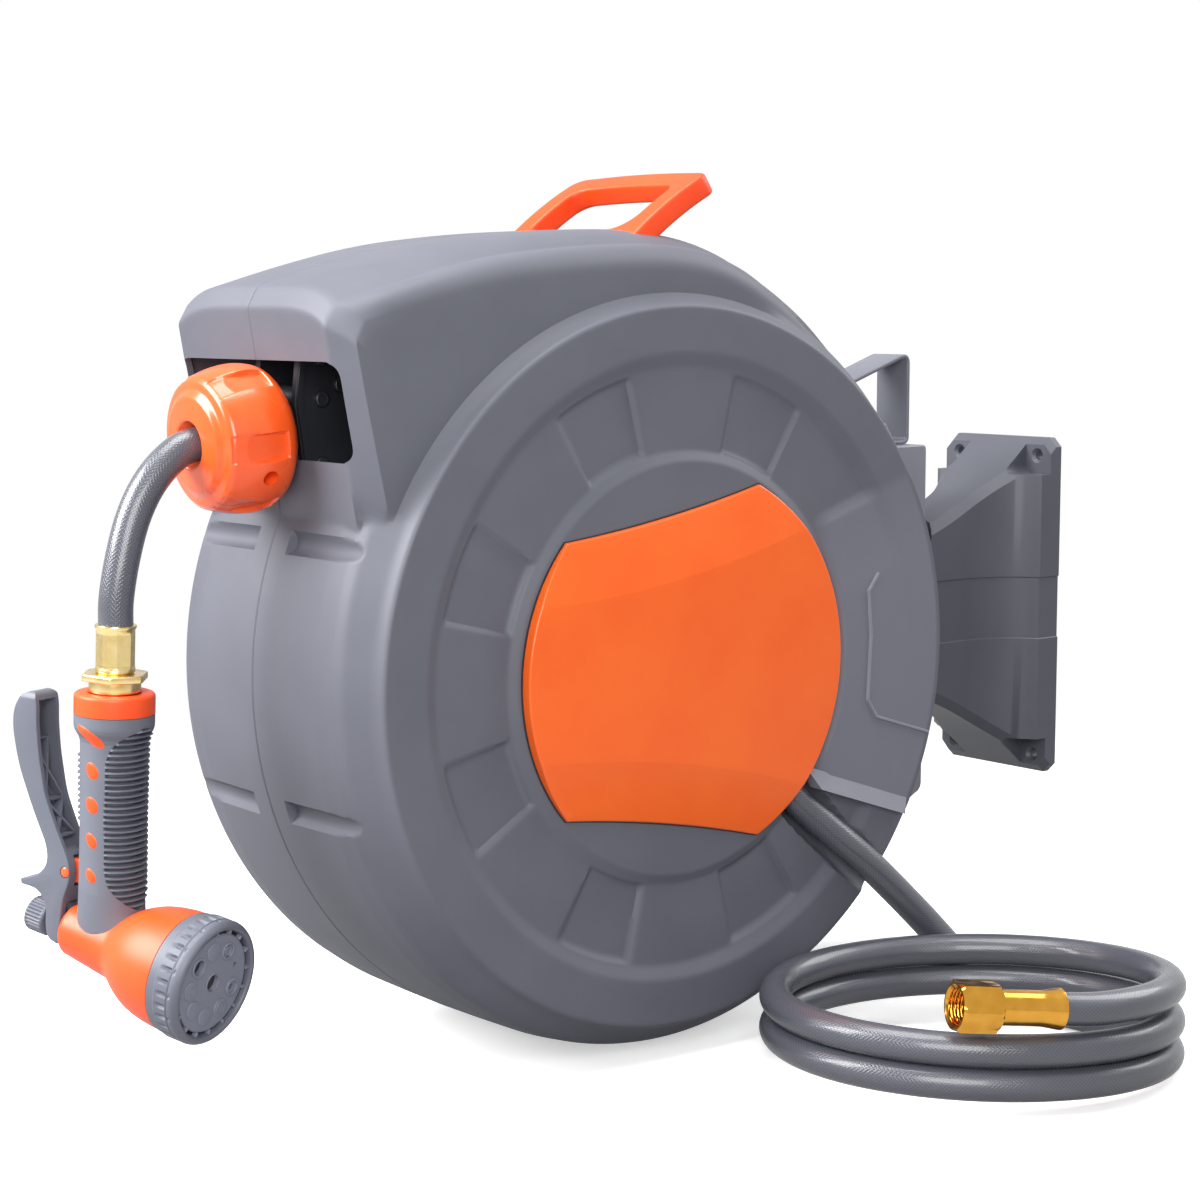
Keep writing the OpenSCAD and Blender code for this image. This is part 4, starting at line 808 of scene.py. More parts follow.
def case_stations():
    """Base profile of a half, seam to hub, as (radius, station) pairs in three groups: round the
    case, the corner that becomes the outlet's side wall, and the disc."""
    across = np.sort(np.concatenate([[0, 0.5, 0.9, 1.6, 15.6, 16.4], np.linspace(3, CORNER_X, 40)]))
    r = np.interp(across, [0, 0.9, 10, 30, 60, CORNER_X], [219.2, 220, 219.9, 219.7, 219, CORNER_R])
    corner = resampled(filleted([[CORNER_R, CORNER_X], [215.5, 80], [WALL_R, SIDE_X]], 5, 6), 19)[1:]
    disc = filleted([[WALL_R, SIDE_X], [204.5, 93], [RIM_R, RIM_X], [176, RIM_X], [168, DISH_X],
                     [122, DISH_X], [116, HUB_X], [0, HUB_X]], [0, 5, 2.2, 2, 2, 1.5, 1.5, 0], 5)
    steps = np.concatenate([disc[:1], *[
        resampled(np.stack([a, b]), max(2, int(np.ceil(np.linalg.norm(b - a) / 1.7)) + 1))[1:]
        if 116 < a[0] < 206 else b[None] for a, b in zip(disc, disc[1:])]])
    return np.stack([r, across], axis=1), corner, steps[1:]


def case_skin(phi, inlet_side, inset):
    """Skin of one half on the +X side for each angle: radius and station, moved in by inset.
    The round case and the outlet face are joined by the larger of their radii. The outlet's corner is
    a 45 degree chamfer in front and turns into a quarter circle over the roof."""
    round_part, corner, disc = case_stations()
    cols = []
    for r, x in round_part:
        face = face_radius(phi, x) - SEAM_STEP * np.clip(1 - x / SEAM_W, 0, 1)
        skin = soft_max(np.full_like(phi, r), face, 1.0)
        skin = trough_radius(phi, x, skin - inset, inset)
        cols.append((skin, np.full_like(phi, max(x - inset * (x > 0), 0))))
    peak = soft_max(np.full_like(phi, CORNER_R), face_radius(phi, CORNER_X), 1.0)
    weight = smoothstep(217.8, 230, peak)
    bend = smoothstep(40, 48, phi)
    for k, (r, x) in enumerate(corner):
        u = (k + 1) / len(corner)
        share = min(u / 0.5, 1)
        turn = np.pi / 2 * share
        wall_r = peak - CORNER * (share + (1 - np.cos(turn) - share) * bend)
        wall_r = wall_r + (WALL_R - wall_r) * max(u - 0.5, 0) / 0.5
        wall_x = CORNER_X + CORNER * (share + (np.sin(turn) - share) * bend)
        skin = r + (wall_r - r) * weight - inset
        cols.append((trough_radius(phi, x, skin, inset), x + (wall_x - x) * weight - inset))
    for r, x in disc:
        full = np.full_like(phi, max(r - inset, 0))
        cols.append((full, disc_relief(phi, full, np.full_like(phi, x), inlet_side, inset)))
    radius, station = (np.stack(v, axis=1) for v in zip(*cols))
    c, s = np.cos(np.radians(phi))[:, None], np.sin(np.radians(phi))[:, None]
    return np.stack([station, -radius * c, radius * s], axis=-1)


def mouth_part():
    """Hose opening: a rounded rectangle drawn through the outlet face."""
    w, h, z = 78.0, 26.0, 147.0
    outline = filleted_loop([[-w, -h], [w, -h], [w, h], [-w, h]], 9, 8)
    return plate_part(outline, 190, 235, SHARP, (X, Z, -Y), (0, 0, z), steps=1)


def case_half(name, side, inlet_side, node):
    """Closed shell of one half: the outer skin, a coarser inner skin and a flat seam edge."""
    stops = np.array([-180, -120, -21, -15, 17, 26, 38, 50, 115, 180])
    gap = np.array([0.55, 0.8, 0.3, 0.8, 0.35, 0.8, 0.25, 0.75, 0.55])
    phi = np.concatenate([np.arange(a, b, g) for a, b, g in zip(stops, stops[1:], gap)])
    phi = phi[:len(phi) // 2 * 2]
    outer = case_skin(phi, inlet_side, 0.0)
    n, m = outer.shape[:2]
    inner = case_skin(phi[::2], inlet_side, SHELL_T)
    inner = inner[:, np.concatenate([[2], np.arange(6, m - 1, 3), [m - 1]])]
    inner[:, 0, 0] = 0
    p, q = inner.shape[:2]
    faces = grid_faces(n, m, wrap_rows=True).tolist()
    faces += (grid_faces(p, q, wrap_rows=True)[:, ::-1] + n * m).tolist()
    i = np.arange(p)
    a, b, c = 2 * i * m, (2 * i + 1) * m, (2 * i + 2) % n * m
    d, e = n * m + i * q, n * m + (i + 1) % p * q
    faces += np.stack([a, b, c, e, d], axis=1).tolist()
    verts = np.vstack([outer.reshape(-1, 3), inner.reshape(-1, 3)]) * [side, 1, 1]
    obj = put_mesh(name, verts, faces, "case", "case", (node,))
    carve(obj, mouth_part())
    co = np.zeros(len(obj.data.vertices) * 3)
    obj.data.vertices.foreach_get("co", co)
    co = co.reshape(-1, 3) / MM - DRUM
    # The panel's rise as a point attribute: it raises the grain and paints a lighter tone on the panel as a
    # painted highlight.
    grain_and_sheen = panel_height(co[:, 1], co[:, 2])
    r = np.hypot(co[:, 1], co[:, 2])
    grain_and_sheen = np.where((np.abs(co[:, 0]) > 94) & (r > 120) & (r < 199), grain_and_sheen, 0)
    obj.data.attributes.new("grain_and_sheen", "FLOAT", "POINT").data.foreach_set("value", grain_and_sheen.astype(np.float32))
    mark_sharp(obj.data, 42)


case_half("case_shell_right", 1, True, "case_right")
case_half("case_shell_left", -1, False, "case_left")
panel_strips(1)
panel_strips(-1)


# Badge, handle, strap and bracket

BADGE_R, BADGE_FOOT, BADGE_TOP, BADGE_ROUND = 114.0, 99.0, 105.5, 1.4
CREASE_AT, CREASE_SLOPE, CREASE_BEND, CREASE_FALL = 53.15, 0.1856, 0.000785, 0.11
EDGE_R, EDGE_AT = 900.0, np.array([-178.9, 970.6])


def badge_rim(ang):
    """Rim radius for each angle: the badge's circle, cut by the wide circles of its two hollow
    edges, which the ray d meets at d.c - sqrt((d.c)^2 - (c.c - R^2))."""
    rim = np.full_like(ang, BADGE_R)
    for side in (1, -1):
        along = np.cos(ang) * EDGE_AT[0] + np.sin(ang) * side * EDGE_AT[1]
        under = along ** 2 - (EDGE_AT @ EDGE_AT - EDGE_R ** 2)
        near = along - np.sqrt(np.clip(under, 0, None))
        rim = np.where((under > 0) & (along > 0), np.minimum(rim, near), rim)
    return rim


def badge_angles():
    """Even angles with the four corners of the outline added."""
    fine = np.linspace(-np.pi, np.pi, 100001)
    on_edge = badge_rim(fine) < BADGE_R
    corners = fine[1:][on_edge[1:] != on_edge[:-1]]
    return np.sort(np.concatenate([np.linspace(-np.pi, np.pi, 360, endpoint=False), corners]))


def badge(side, node):
    """Plate with a level middle and two bands that fall away beyond curved creases at
    |z| = at + slope y + bend y^2. Stations run from the centre to the crease, on to the rounded rim,
    down the edge and back under. A dark ring just wider than the plate, under its rim, is painted shade
    for the gap round the plate and shows as a thin line."""
    ang = badge_angles()
    rim, c, s = badge_rim(ang), np.cos(ang), np.sin(ang)
    half = np.abs(s) - CREASE_SLOPE * c
    root = np.sqrt(np.clip(half ** 2 - 4 * CREASE_BEND * c ** 2 * CREASE_AT, 0, None))
    crease = np.where(half > 0, 2 * CREASE_AT / np.clip(half + root, 1e-6, None), 1e9)
    crease = np.minimum(crease, 0.95 * rim)
    inner = [k * (crease - 0.5) for k in (0, 0.2, 0.4, 0.6, 0.8, 0.92, 1)]
    outer = [crease + 0.5 + k * (rim - BADGE_ROUND - 0.5 - crease) for k in (0, 0.2, 0.4, 0.6, 0.8, 1)]
    turn = np.linspace(0, np.pi / 2, 6)[1:]
    bend = [rim - BADGE_ROUND + BADGE_ROUND * np.sin(t) for t in turn]
    rows = np.stack(inner + [crease] + outer + bend + [rim, 0 * rim])
    sink = np.concatenate([np.zeros(14), BADGE_ROUND * (1 - np.cos(turn)), [0, 0]])[:, None]
    y, z = rows * c, rows * s
    fall = np.clip(np.abs(z) - (CREASE_AT + CREASE_SLOPE * y + CREASE_BEND * y ** 2), 0, None)
    x = BADGE_TOP - CREASE_FALL * fall - sink
    x[-2:] = BADGE_FOOT
    verts = np.stack([side * x, y, z], axis=-1)
    faces = grid_faces(*rows.shape, wrap_cols=True)
    tag = "right" if side > 0 else "left"
    put_mesh("badge_plate_" + tag, verts, faces, "badge", "case", (node,),
             edge_angle=50)
    # Painted shade: a dark ring 0.9 mm wider than the plate stands for the shadow in the gap round it.
    shade_line = np.stack([0 * rim, rim + 0.9, rim + 0.9, 0 * rim])
    level = np.array([99.5, 99.5, 98.8, 98.8])[:, None] * side
    verts = np.stack([np.broadcast_to(level, shade_line.shape), shade_line * c, shade_line * s], axis=-1)
    put_mesh("badge_shade_line_" + tag, verts, grid_faces(*shade_line.shape, wrap_cols=True), "shade",
             "case", edge_angle=30)


badge(1, "badge_right")
badge(-1, "badge_left")


def carry_handle():
    """Frame between an outer outline and its window: the section goes up the outer side, over
    the top, down the window's side and back under, with rounded edges. The frame bows up by
    10 t (1 - t) mm along its length, and its top bar bows out."""
    outer = round_rect(-60, 60, -14, 72, (3, 3, 7, 9))
    inner = round_rect(-45, 45, 13, 57, (6, 15, 8, 8))
    outer[:, 1] += 3 * (1 - (outer[:, 0] / 60) ** 2) * smoothstep(50, 70, outer[:, 1])
    inner[:, 1] += 2.5 * (1 - (inner[:, 0] / 45) ** 2) * smoothstep(40, 57, inner[:, 1])
    e, low, high = 2.2, -13.0, 0.0
    t = np.linspace(0, np.pi / 2, 5)
    inset, rise = e * (1 - np.cos(t)), e * (1 - np.sin(t))
    n_out, n_in = outline_normals(outer), outline_normals(inner)
    cols = [(outer - d * n_out, low + h) for d, h in zip(inset[::-1], rise[::-1])]
    cols += [(outer - d * n_out, high - h) for d, h in zip(inset, rise)]
    cols += [(inner + d * n_in, high - h) for d, h in zip(inset[::-1], rise[::-1])]
    cols += [(inner + d * n_in, low + h) for d, h in zip(inset, rise)]
    flat = np.stack([c for c, _ in cols], axis=1)
    level = np.broadcast_to([h for _, h in cols], flat.shape[:2])
    share = np.clip(flat[..., 1] / 72, 0, 1)
    level = level + 10 * share * (1 - share)
    c, s = deg_cos_sin(34)
    up, out = np.array([0, c, s]), np.array([0, -s, c])
    verts = np.array([0, -11.0, 237.0]) + flat[..., :1] * X + flat[..., 1:] * up + level[..., None] * out
    put_mesh("carrying_handle", verts, grid_faces(*flat.shape[:2], wrap_rows=True, wrap_cols=True),
             "handle", "case", ("carry_handle",), edge_angle=50)


carry_handle()


def strap():
    """Flat strip with rounded edges carried along its bent line in the (y, z) plane."""
    line = filleted([[240, 114.3], [259.7, 114.3], [259.7, 171.2], [171, 140.1]], [0, 4, 7, 0], 8)
    along = unit(np.gradient(line, axis=0))
    normal = np.stack([-along[:, 1], along[:, 0]], axis=1)
    section = round_rect(-14, 14, -1.25, 1.25, (0.8,) * 4, side=3, arc=4)
    verts = np.zeros((len(line), len(section), 3))
    verts[..., 0] = section[:, 0]
    verts[..., 1:] = line[:, None] + section[None, :, 1:] * normal[:, None]
    put_mesh("strap_strip", verts, capped_faces(*verts.shape[:2]), "strap", "case",
             ("pin_strap",), edge_angle=50)


strap()
softened("pivot_block_moulding", "pivot_block", "block", "case", 1.5)

PLATE_W, PLATE_H, PLATE_BAND = 47.0, 112.0, 20.0
SCREW_X, SCREW_Z = 35.0, 100.0
PIVOT = np.array([0, -120.0, 0])


def bracket_section(y, w, h):
    """Closed section of the bracket at one depth: an upright rectangle with cut corners and a
    shallow band across the middle of each side."""
    cut = min(6.0, 0.3 * w)
    band, edge = PLATE_BAND, PLATE_BAND + 0.6
    zs = np.array([-(h - cut), -edge, -band, band, edge, h - cut])
    right = np.stack([w - 0.8 * (np.abs(zs) <= band), zs], axis=1)
    top = np.stack([np.linspace(w - cut, cut - w, 5), np.full(5, h)], axis=1)
    loop = np.vstack([right, top, -right, -top])
    return np.stack([loop[:, 0], np.full(len(loop), y), loop[:, 1]], axis=1)


def wall_bracket():
    """Rectangles lofted from the neck to the wall: half width 22, then 72 - sqrt(50^2 - (y + 62)^2)
    up to 47; half height 293 - sqrt(250^2 - (y + 177.4)^2) up to 112. Corner pockets, screw holes
    and the swing room round the knuckle are cut out, and the knuckle's ring is set in front."""
    y = np.concatenate([np.linspace(-120, -19, 54), [-18.6, -12, -7, -5, -3, 0]])
    lean = np.clip(y + 62, 0, 50)
    w = np.minimum(72 - np.sqrt(50 ** 2 - lean ** 2), PLATE_W)
    h = np.minimum(293 - np.sqrt(250 ** 2 - (y + 177.4) ** 2), PLATE_H)
    h = np.where(y > -5, PLATE_H, h)
    verts = np.stack([bracket_section(*row) for row in zip(y, w, h)])
    obj = put_mesh("wall_bracket_moulding", verts, capped_faces(*verts.shape[:2]), "bracket", "root",
                   ("wall_bracket",), offset=0.0)
    into, pin = (X, Z, -Y), (X, Y, Z)
    swing = ((33, 48, 140), (33, -140, -48), (21.5, -60, 60))
    cuts = [rod_part(*size, pin, PIVOT) for size in swing]
    for sx in (1, -1):
        for sz in (1, -1):
            pocket = round_rect(25, 70, 88, 140, (6, 1, 1, 1), side=2) * [sx, sz]
            screw = (sx * SCREW_X, 0, sz * SCREW_Z)
            cuts.append(plate_part(pocket, 10, 130, SHARP, into, steps=1))
            cuts.append(rod_part(3, -2, 12, into, screw, 24))
            cuts.append(turned_part([[0, 8], [3, 8], [5.5, 10.5], [5.5, 12], [0, 12]], 24, into, screw))
    for cut in cuts:
        carve(obj, cut, 0.0)
    mark_sharp(obj.data, 32)
    round_edges(obj, 1.0)
    ring = filleted_loop([[8.1, -48], [22, -48], [22, 48], [8.1, 48]], 1.2, 3)
    verts, faces = turned_part(np.vstack([ring, ring[:1]]), 64, pin, PIVOT)
    put_mesh("wall_bracket_knuckle", verts, faces, "bracket", "root",
             offset=0.0, edge_angle=40)


wall_bracket()


# Stopper and brass

STOP_AT, LINE_DIP = np.array([0, -208.0, 133.5]), 5.0
POCKET_FLAT, POCKET_LEAST = 36.2, 0.8
stop_c, stop_s = deg_cos_sin(LINE_DIP)
ON_STOP = (X, np.array([0, -stop_s, stop_c]), np.array([0, -stop_c, -stop_s]))


def stopper_shape(ang, r, s):
    """Six flat-floored pockets that run out at the front rim, and a fine groove where the two halves
    meet: each pocket floor is a plane at a distance d from the axis, r = d / cos, or a least depth
    under the skin."""
    deg = np.degrees(ang)
    off = (deg + 4 + 30) % 60 - 30
    wall = smoothstep(11.4, 10.2, np.abs(off) - 0.06 * (s - 25)) * smoothstep(10, 11, s)
    wall = wall * (s < 41.8) * (r > 30)
    floor = np.minimum(POCKET_FLAT / np.cos(np.radians(off)), r - POCKET_LEAST)
    cut = np.where(r > floor, r + (floor - r) * wall, r)
    seam = np.abs((deg - 115 + 90) % 180 - 90)
    return np.where(s > 0.5, cut - 0.6 * (1 - smoothstep(0.3, 0.9, seam)) * (r > 14), cut)


def stopper():
    """Turned barrel shape with a flared hole for the hose and one screw hole in its flank."""
    line = resampled(filleted([
        [9.15, 0], [30, 0], [37.6, 5.8], [40, 17.3], [38.8, 28.5], [35.2, 40.4], [33.0, 42.4], [28.4, 43.4],
        [25.2, 46.2], [13, 48], [9.15, 41]], [0, 2, 5, 8, 8, 1, 1, 1, 1.2, 1, 0], 6), 200)
    profile = np.vstack([line, line[:1]])
    verts, faces = turned_part(profile, 300, ON_STOP, STOP_AT, stopper_shape)
    obj = put_mesh("stopper_ball", verts, faces, "stopper", "guide",
                   ("stopper_left", "stopper_right"))
    c, s = deg_cos_sin(-29)
    out = c * ON_STOP[0] + s * ON_STOP[1]
    axes = (unit(np.cross(ON_STOP[2], out)), ON_STOP[2], out)
    carve(obj, rod_part(4.3, 28, 50, axes, STOP_AT + 21 * ON_STOP[2], 32))
    mark_sharp(obj.data, 40)


stopper()

YAW, LEAN, TILT = 22.0, 2.7, 8.3
yaw_c, yaw_s = deg_cos_sin(YAW)
lean_c, lean_s = deg_cos_sin(LEAN)
tilt_c, tilt_s = deg_cos_sin(TILT)
NX, NY = np.array([yaw_c, yaw_s, 0]), np.array([-yaw_s, yaw_c, 0])
LX, LZ = lean_c * NX - lean_s * Z, lean_s * NX + lean_c * Z
HANG, NECK_L, GRIP_L = np.array([0, -300.0, 39.0]), 39.0, 129.0
NOZZLE = HANG - NECK_L * LZ
BX, BZ = tilt_c * LX - tilt_s * LZ, tilt_s * LX + tilt_c * LZ
BARREL = NOZZLE - GRIP_L * LZ
ON_GRIP, ON_BARREL, FLAT = (LX, NY, LZ), (NY, BZ, BX), (LX, LZ, -NY)


def in_nozzle(x, y, z):
    """Points from their places along the nozzle's three axes."""
    x, y, z = np.broadcast_arrays(x, y, z)
    return NOZZLE + x[..., None] * LX + y[..., None] * NY + z[..., None] * LZ


LEVER_PIN = in_nozzle(-24.4, 0, -93.7)


def nozzle_turned(name, profile, sides, finish, stands_for, axes=ON_GRIP, at=NOZZLE, shape=None,
                  body="guide"):
    """Turned piece of the nozzle from a closed (radius, station) outline."""
    profile = np.asarray(profile, float)
    verts, faces = turned_part(np.vstack([profile, profile[:1]]), sides, axes, at, shape)
    put_mesh(name, verts, faces, finish, body, stands_for, edge_angle=35)


def crimped(ang, r, s):
    """Eight shallow flats pressed in by the crimping jaws, r cos(22.5) / cos(angle from the flat's
    middle), fading at both ends."""
    flat = np.cos(np.pi / 8) / np.cos((ang % (np.pi / 4)) - np.pi / 8)
    press = smoothstep(15.5, 18, s) * smoothstep(37, 34.5, s)
    return np.where(r > 9.3, r * (1 + (flat - 1) * press), r)


ferrule = resampled(filleted([
    [9.05, 39], [10.7, 39], [10.7, 37.6], [10.0, 36.6], [10.0, 17.5], [10.35, 16.2], [10.3, 14.8],
    [9.4, 14]], [0, 0.5, 0.5, 0.8, 1, 0.8, 0.6, 0], 4), 70)
nozzle_turned("outlet_ferrule_crimped", np.vstack([ferrule, [[6, 14], [6, 39]]]), 96, "brass",
              ("outlet_ferrule",), shape=crimped)


def outlet_fitting():
    """Hexagonal flange with worn corners over a plain turned neck."""
    flange = plate_part(filleted_loop(hexagon(18.0), 1.6, 3), 10.2, 14, 0.7, ON_GRIP, NOZZLE)
    neck = filleted([[12.0, 10.4], [13.4, 10.4], [13.4, 4.4], [12.9, 3.8], [12.9, -2], [6, -2]],
                    [0, 0.6, 0.4, 0.4, 0.5, 0], 3)
    ring = np.vstack([neck, [[6, 10.4]], neck[:1]])
    verts, faces = join_parts([flange, turned_part(ring, 72, ON_GRIP, NOZZLE)])
    put_mesh("outlet_fitting_hex", verts, faces, "brass", "guide", ("outlet_fitting",),
             edge_angle=35)


outlet_fitting()


# Nozzle

collar = filleted([[13.6, 3.4], [14.2, 4], [20.8, 4], [20.8, -6.9], [13.6, -6.9]], [0, 0.3, 2.4, 0.3, 0], 6)
nozzle_turned("nozzle_collar_ring", collar, 96, "nozzle", ("nozzle_collar",))

GRIP_Z = np.array([-124.0, -118, -110, -100, -93, -60, -30, -21, -18.5, -15.5, -13.5, -12, -7.1])
GRIP_LONG = np.array([21.5, 20.0, 18.2, 17.3, 17.1, 16.9, 17.2, 17.4, 18.2, 20.0, 20.6, 20.7, 20.7])
GRIP_WIDE = np.array([15.0, 15.6, 16.3, 17.1, 17.1, 16.9, 17.2, 17.4, 18.2, 20.0, 20.6, 20.7, 20.7])
RIB_Z = np.array([-108.5, -105, -100, -95, -88, -60, -30, -24, -20, -16, -13])
RIB_HALF = np.array([4.0, 25, 45, 58, 64, 66, 64, 57, 46, 27, 6])
RIB_PITCH, PIPE_R = 3.06, 11.2


def grip_radius(ang, z):
    """Oval section 1 / sqrt((cos / long)^2 + (sin / wide)^2) with both half sizes read from the
    grip's tables at each height."""
    long, wide = np.interp(z, GRIP_Z, GRIP_LONG), np.interp(z, GRIP_Z, GRIP_WIDE)
    return 1 / np.sqrt((np.cos(ang) / long) ** 2 + (np.sin(ang) / wide) ** 2)


def ribbed(ang, r, z):
    """Finger ribs over the front of the grip and a shorter row on its back: the fins in front stand
    1.2 mm proud, and the slots between them are 2.8 mm deep."""
    deg = (np.degrees(ang) + 180) % 360 - 180
    front = smoothstep(0, 3, np.interp(z, RIB_Z, RIB_HALF, left=-9, right=-9) - np.abs(deg))
    rear = smoothstep(0, 3, 40 - np.abs(np.abs(deg) - 180))
    rear = rear * smoothstep(-64, -63, z) * smoothstep(-28, -29, z)
    fin = smoothstep(-0.1, 0.6, np.cos(2 * np.pi * (z + 60) / RIB_PITCH))
    skin = grip_radius(ang, z) + (front * (4.0 * fin - 2.8) + rear * (2.6 * fin - 1.3))
    return np.where(r > PIPE_R, skin, r)


def nozzle_grip():
    """Ribbed rubber sleeve, closed inside on the pipe."""
    z = np.concatenate([[-7.1, -7.1], np.linspace(-7.6, -12.6, 8), np.arange(-13, -109, -0.4),
                        np.linspace(-109.5, -124, 14)])
    r = np.where(np.arange(len(z)) == 0, PIPE_R, 20.0)
    profile = np.vstack([np.stack([r, z], axis=1), [[PIPE_R, -124.0]]])
    nozzle_turned("nozzle_grip_ribbed", profile, 200, "grip", ("nozzle_grip",), shape=ribbed)


nozzle_grip()

DOTS = [(-17.0, 10.0, 3.9, -36), (-35.0, 5.6, 4.4, -50), (-53.0, 5.6, 4.4, -50), (-71.5, 5.2, 3.6, -52),
        (-90.0, 4.8, 3.3, -55)]


def nozzle_dots():
    """Oval lenses on both flanks: each is an ellipse laid on the grip's oval section, tilted, and
    lifted 0.5 mm in the middle with its rim sunk."""
    rho, alpha = np.linspace(0, 1, 7)[:, None], np.linspace(0, 2 * np.pi, 40, endpoint=False)[None]
    parts = []
    for flank in (-1, 1):
        for z0, a, b, tilt in DOTS:
            c, s = deg_cos_sin(tilt)
            p, q = a * rho * np.cos(alpha), b * rho * np.sin(alpha)
            run, z = c * p - s * q, z0 + s * p + c * q
            ang = flank * (np.pi / 2 - run / 17.5)
            r = grip_radius(ang, z) + 0.55 - 1.0 * rho ** 4
            top = in_nozzle(r * np.cos(ang), r * np.sin(ang), z)
            back = np.broadcast_to(in_nozzle(0, 15.0 * flank, z0), top[:1].shape)
            verts = np.vstack([top, back])
            parts.append((verts, grid_faces(*verts.shape[:2], wrap_cols=True).tolist()))
    verts, faces = join_parts(parts)
    put_mesh("nozzle_dots_oval", verts, faces, "nozzle", "guide", ("nozzle_dots",),
             edge_angle=60)


nozzle_dots()

barrel = resampled(filleted([
    [12.2, -26], [14.3, -24], [17.2, 0], [18.1, 8.5], [20.6, 13], [25.2, 20], [28.7, 28], [30.6, 36],
    [31.6, 44], [31.9, 50]], [0, 2, 6, 3, 3, 8, 8, 8, 8, 0], 6), 90)
nozzle_turned("nozzle_body_bell", np.vstack([[[4.2, -20], [4.2, -26]], barrel, [[4.2, 50]]]), 120, "nozzle",
              ("nozzle_body",), ON_BARREL, BARREL)

LEVER_OUT = np.array([
    [-46.1, -2.2], [-50.2, -0.7], [-56.1, -3.2], [-60.7, -11.0], [-61.3, -20.9], [-57.3, -39.8],
    [-46.7, -63.6], [-37.4, -81.0], [-36.4, -90.8], [-42.9, -98.0], [-55.0, -101.6], [-54.4, -104.4],
    [-43.0, -105.4], [-36.7, -113.3], [-37.6, -121.5], [-36.4, -130.7], [-28.4, -133.5]])
LEVER_IN = np.array([
    [-27.4, -122.5], [-25.6, -108.4], [-21.3, -98.0], [-21.3, -90.0], [-25.5, -81.3], [-31.9, -69.6],
    [-38.6, -55.0], [-43.2, -33.1], [-44.8, -18.1], [-44.9, -8.2]])


def nozzle_lever():
    """Trigger drawn out of its side outline, with a rounded top, hollowed from the grip's side down
    to the pin, and stiffened in the hollow by level and crossed ribs."""
    outline = filleted_loop(np.vstack([LEVER_OUT, LEVER_IN]), [
        3, 4, 5, 6, 8, 12, 12, 8, 6, 6, 1.0, 1.0, 6, 4, 4, 4, 2, 4, 4, 4, 4, 4, 6, 6, 6, 5, 4], 5)
    verts, faces = plate_part(outline, -9, 9, 0.7, FLAT, NOZZLE)
    obj = put_mesh("nozzle_lever_trigger", verts, faces, "lever", "lever",
                   ("nozzle_lever",))
    hollow = filleted_loop([
        [-49, -5.5], [-55, -9], [-57, -20], [-53, -39], [-42.5, -63], [-36, -76], [-30, -84], [-20, -84],
        [-20, -5.5]], [2, 3, 6, 8, 8, 4, 2, 0, 0], 4)
    slot = [[-33, -102], [-10, -102], [-10, -85.4], [-33, -85.4]]
    fork = [[-60, -150], [-10, -150], [-10, -110.6], [-60, -110.6]]
    for shape, half in ((hollow, 6.4), (slot, 3.4), (fork, 5.5)):
        carve(obj, plate_part(shape, -half, half, SHARP, FLAT, NOZZLE, 1))
    carve(obj, rod_part(3.1, -12, 12, FLAT, LEVER_PIN, 32))
    r, middle, foot = 5.0, 4.05, -5.6
    a = np.radians(np.linspace(0, 90, 9))
    corner = np.stack([middle + r * np.cos(a), foot + r * np.sin(a)], axis=1)
    above = np.vstack([corner, corner[::-1] * [-1, 1], [[-14, foot], [-14, 4], [14, 4], [14, foot]]])
    carve(obj, plate_part(above[::-1], -70, -35, SHARP, (NY, LZ, LX), NOZZLE, 1))
    mark_sharp(obj.data, 30)
    ribs = []
    back = np.array([[-57, -5], [-57.5, -20], [-53.5, -39], [-43, -63], [-36.5, -76], [-30, -84]])

    def rib(y0, z0, y1, z1):
        """Thin wall from one point of the hollow's back to another, 6 mm high."""
        ends = []
        for y, z in ((y0, z0), (y1, z1)):
            x = np.interp(-z, -back[:, 1], back[:, 0])
            ends.append([in_nozzle(x + d, y, z) for d in (-1.0, 6.0)])
        side = 0.6 * unit(np.cross(ends[1][0] - ends[0][0], LX))
        rings = [[low - side, low + side, high + side, high - side] for low, high in ends]
        ribs.append((rings, capped_faces(2, 4)))

    reach = 6.6
    for z in (-27, -58, -76):
        rib(-reach, z, reach, z)
    for low, high in ((-58, -27), (-76, -58)):
        rib(-reach, high, reach, low)
        rib(-reach, low, reach, high)
    verts, faces = join_parts(ribs)
    put_mesh("nozzle_lever_ribs", verts, faces, "lever", "lever", smooth=False)


nozzle_lever()


def lever_pin():
    """Pin with domed ends, and the round-ended tongue that carries it out of the grip."""
    pin = turned_part([[0, -9.5], [1.8, -9.3], [2.7, -8.8], [2.7, 8.8], [1.8, 9.3], [0, 9.5]], 32,
                      FLAT, LEVER_PIN)
    r = 6.4
    a = np.radians(np.linspace(90, 270, 16))
    outline = np.vstack([r * np.stack([np.cos(a), np.sin(a)], axis=1), [[13, -r], [13, r]]])
    tongue = plate_part(outline, -3, 3, 0.8, FLAT, LEVER_PIN)
    verts, faces = join_parts([pin, tongue])
    put_mesh("lever_pin_tongue", verts, faces, "stopper", "guide", ("lever_pin",),
             edge_angle=40)


lever_pin()


def knurled(count, deep, low, high):
    """Shape function for a knurl: rounded flutes cut between two stations."""
    def shape(ang, r, s):
        """Radii less the flutes, which fade out over 0.8 mm at both ends."""
        on = smoothstep(low, low + 0.8, s) * smoothstep(high, high - 0.8, s) * (r > 6)
        return r - deep * on * (0.5 - 0.5 * np.cos(count * ang)) ** 2
    return shape


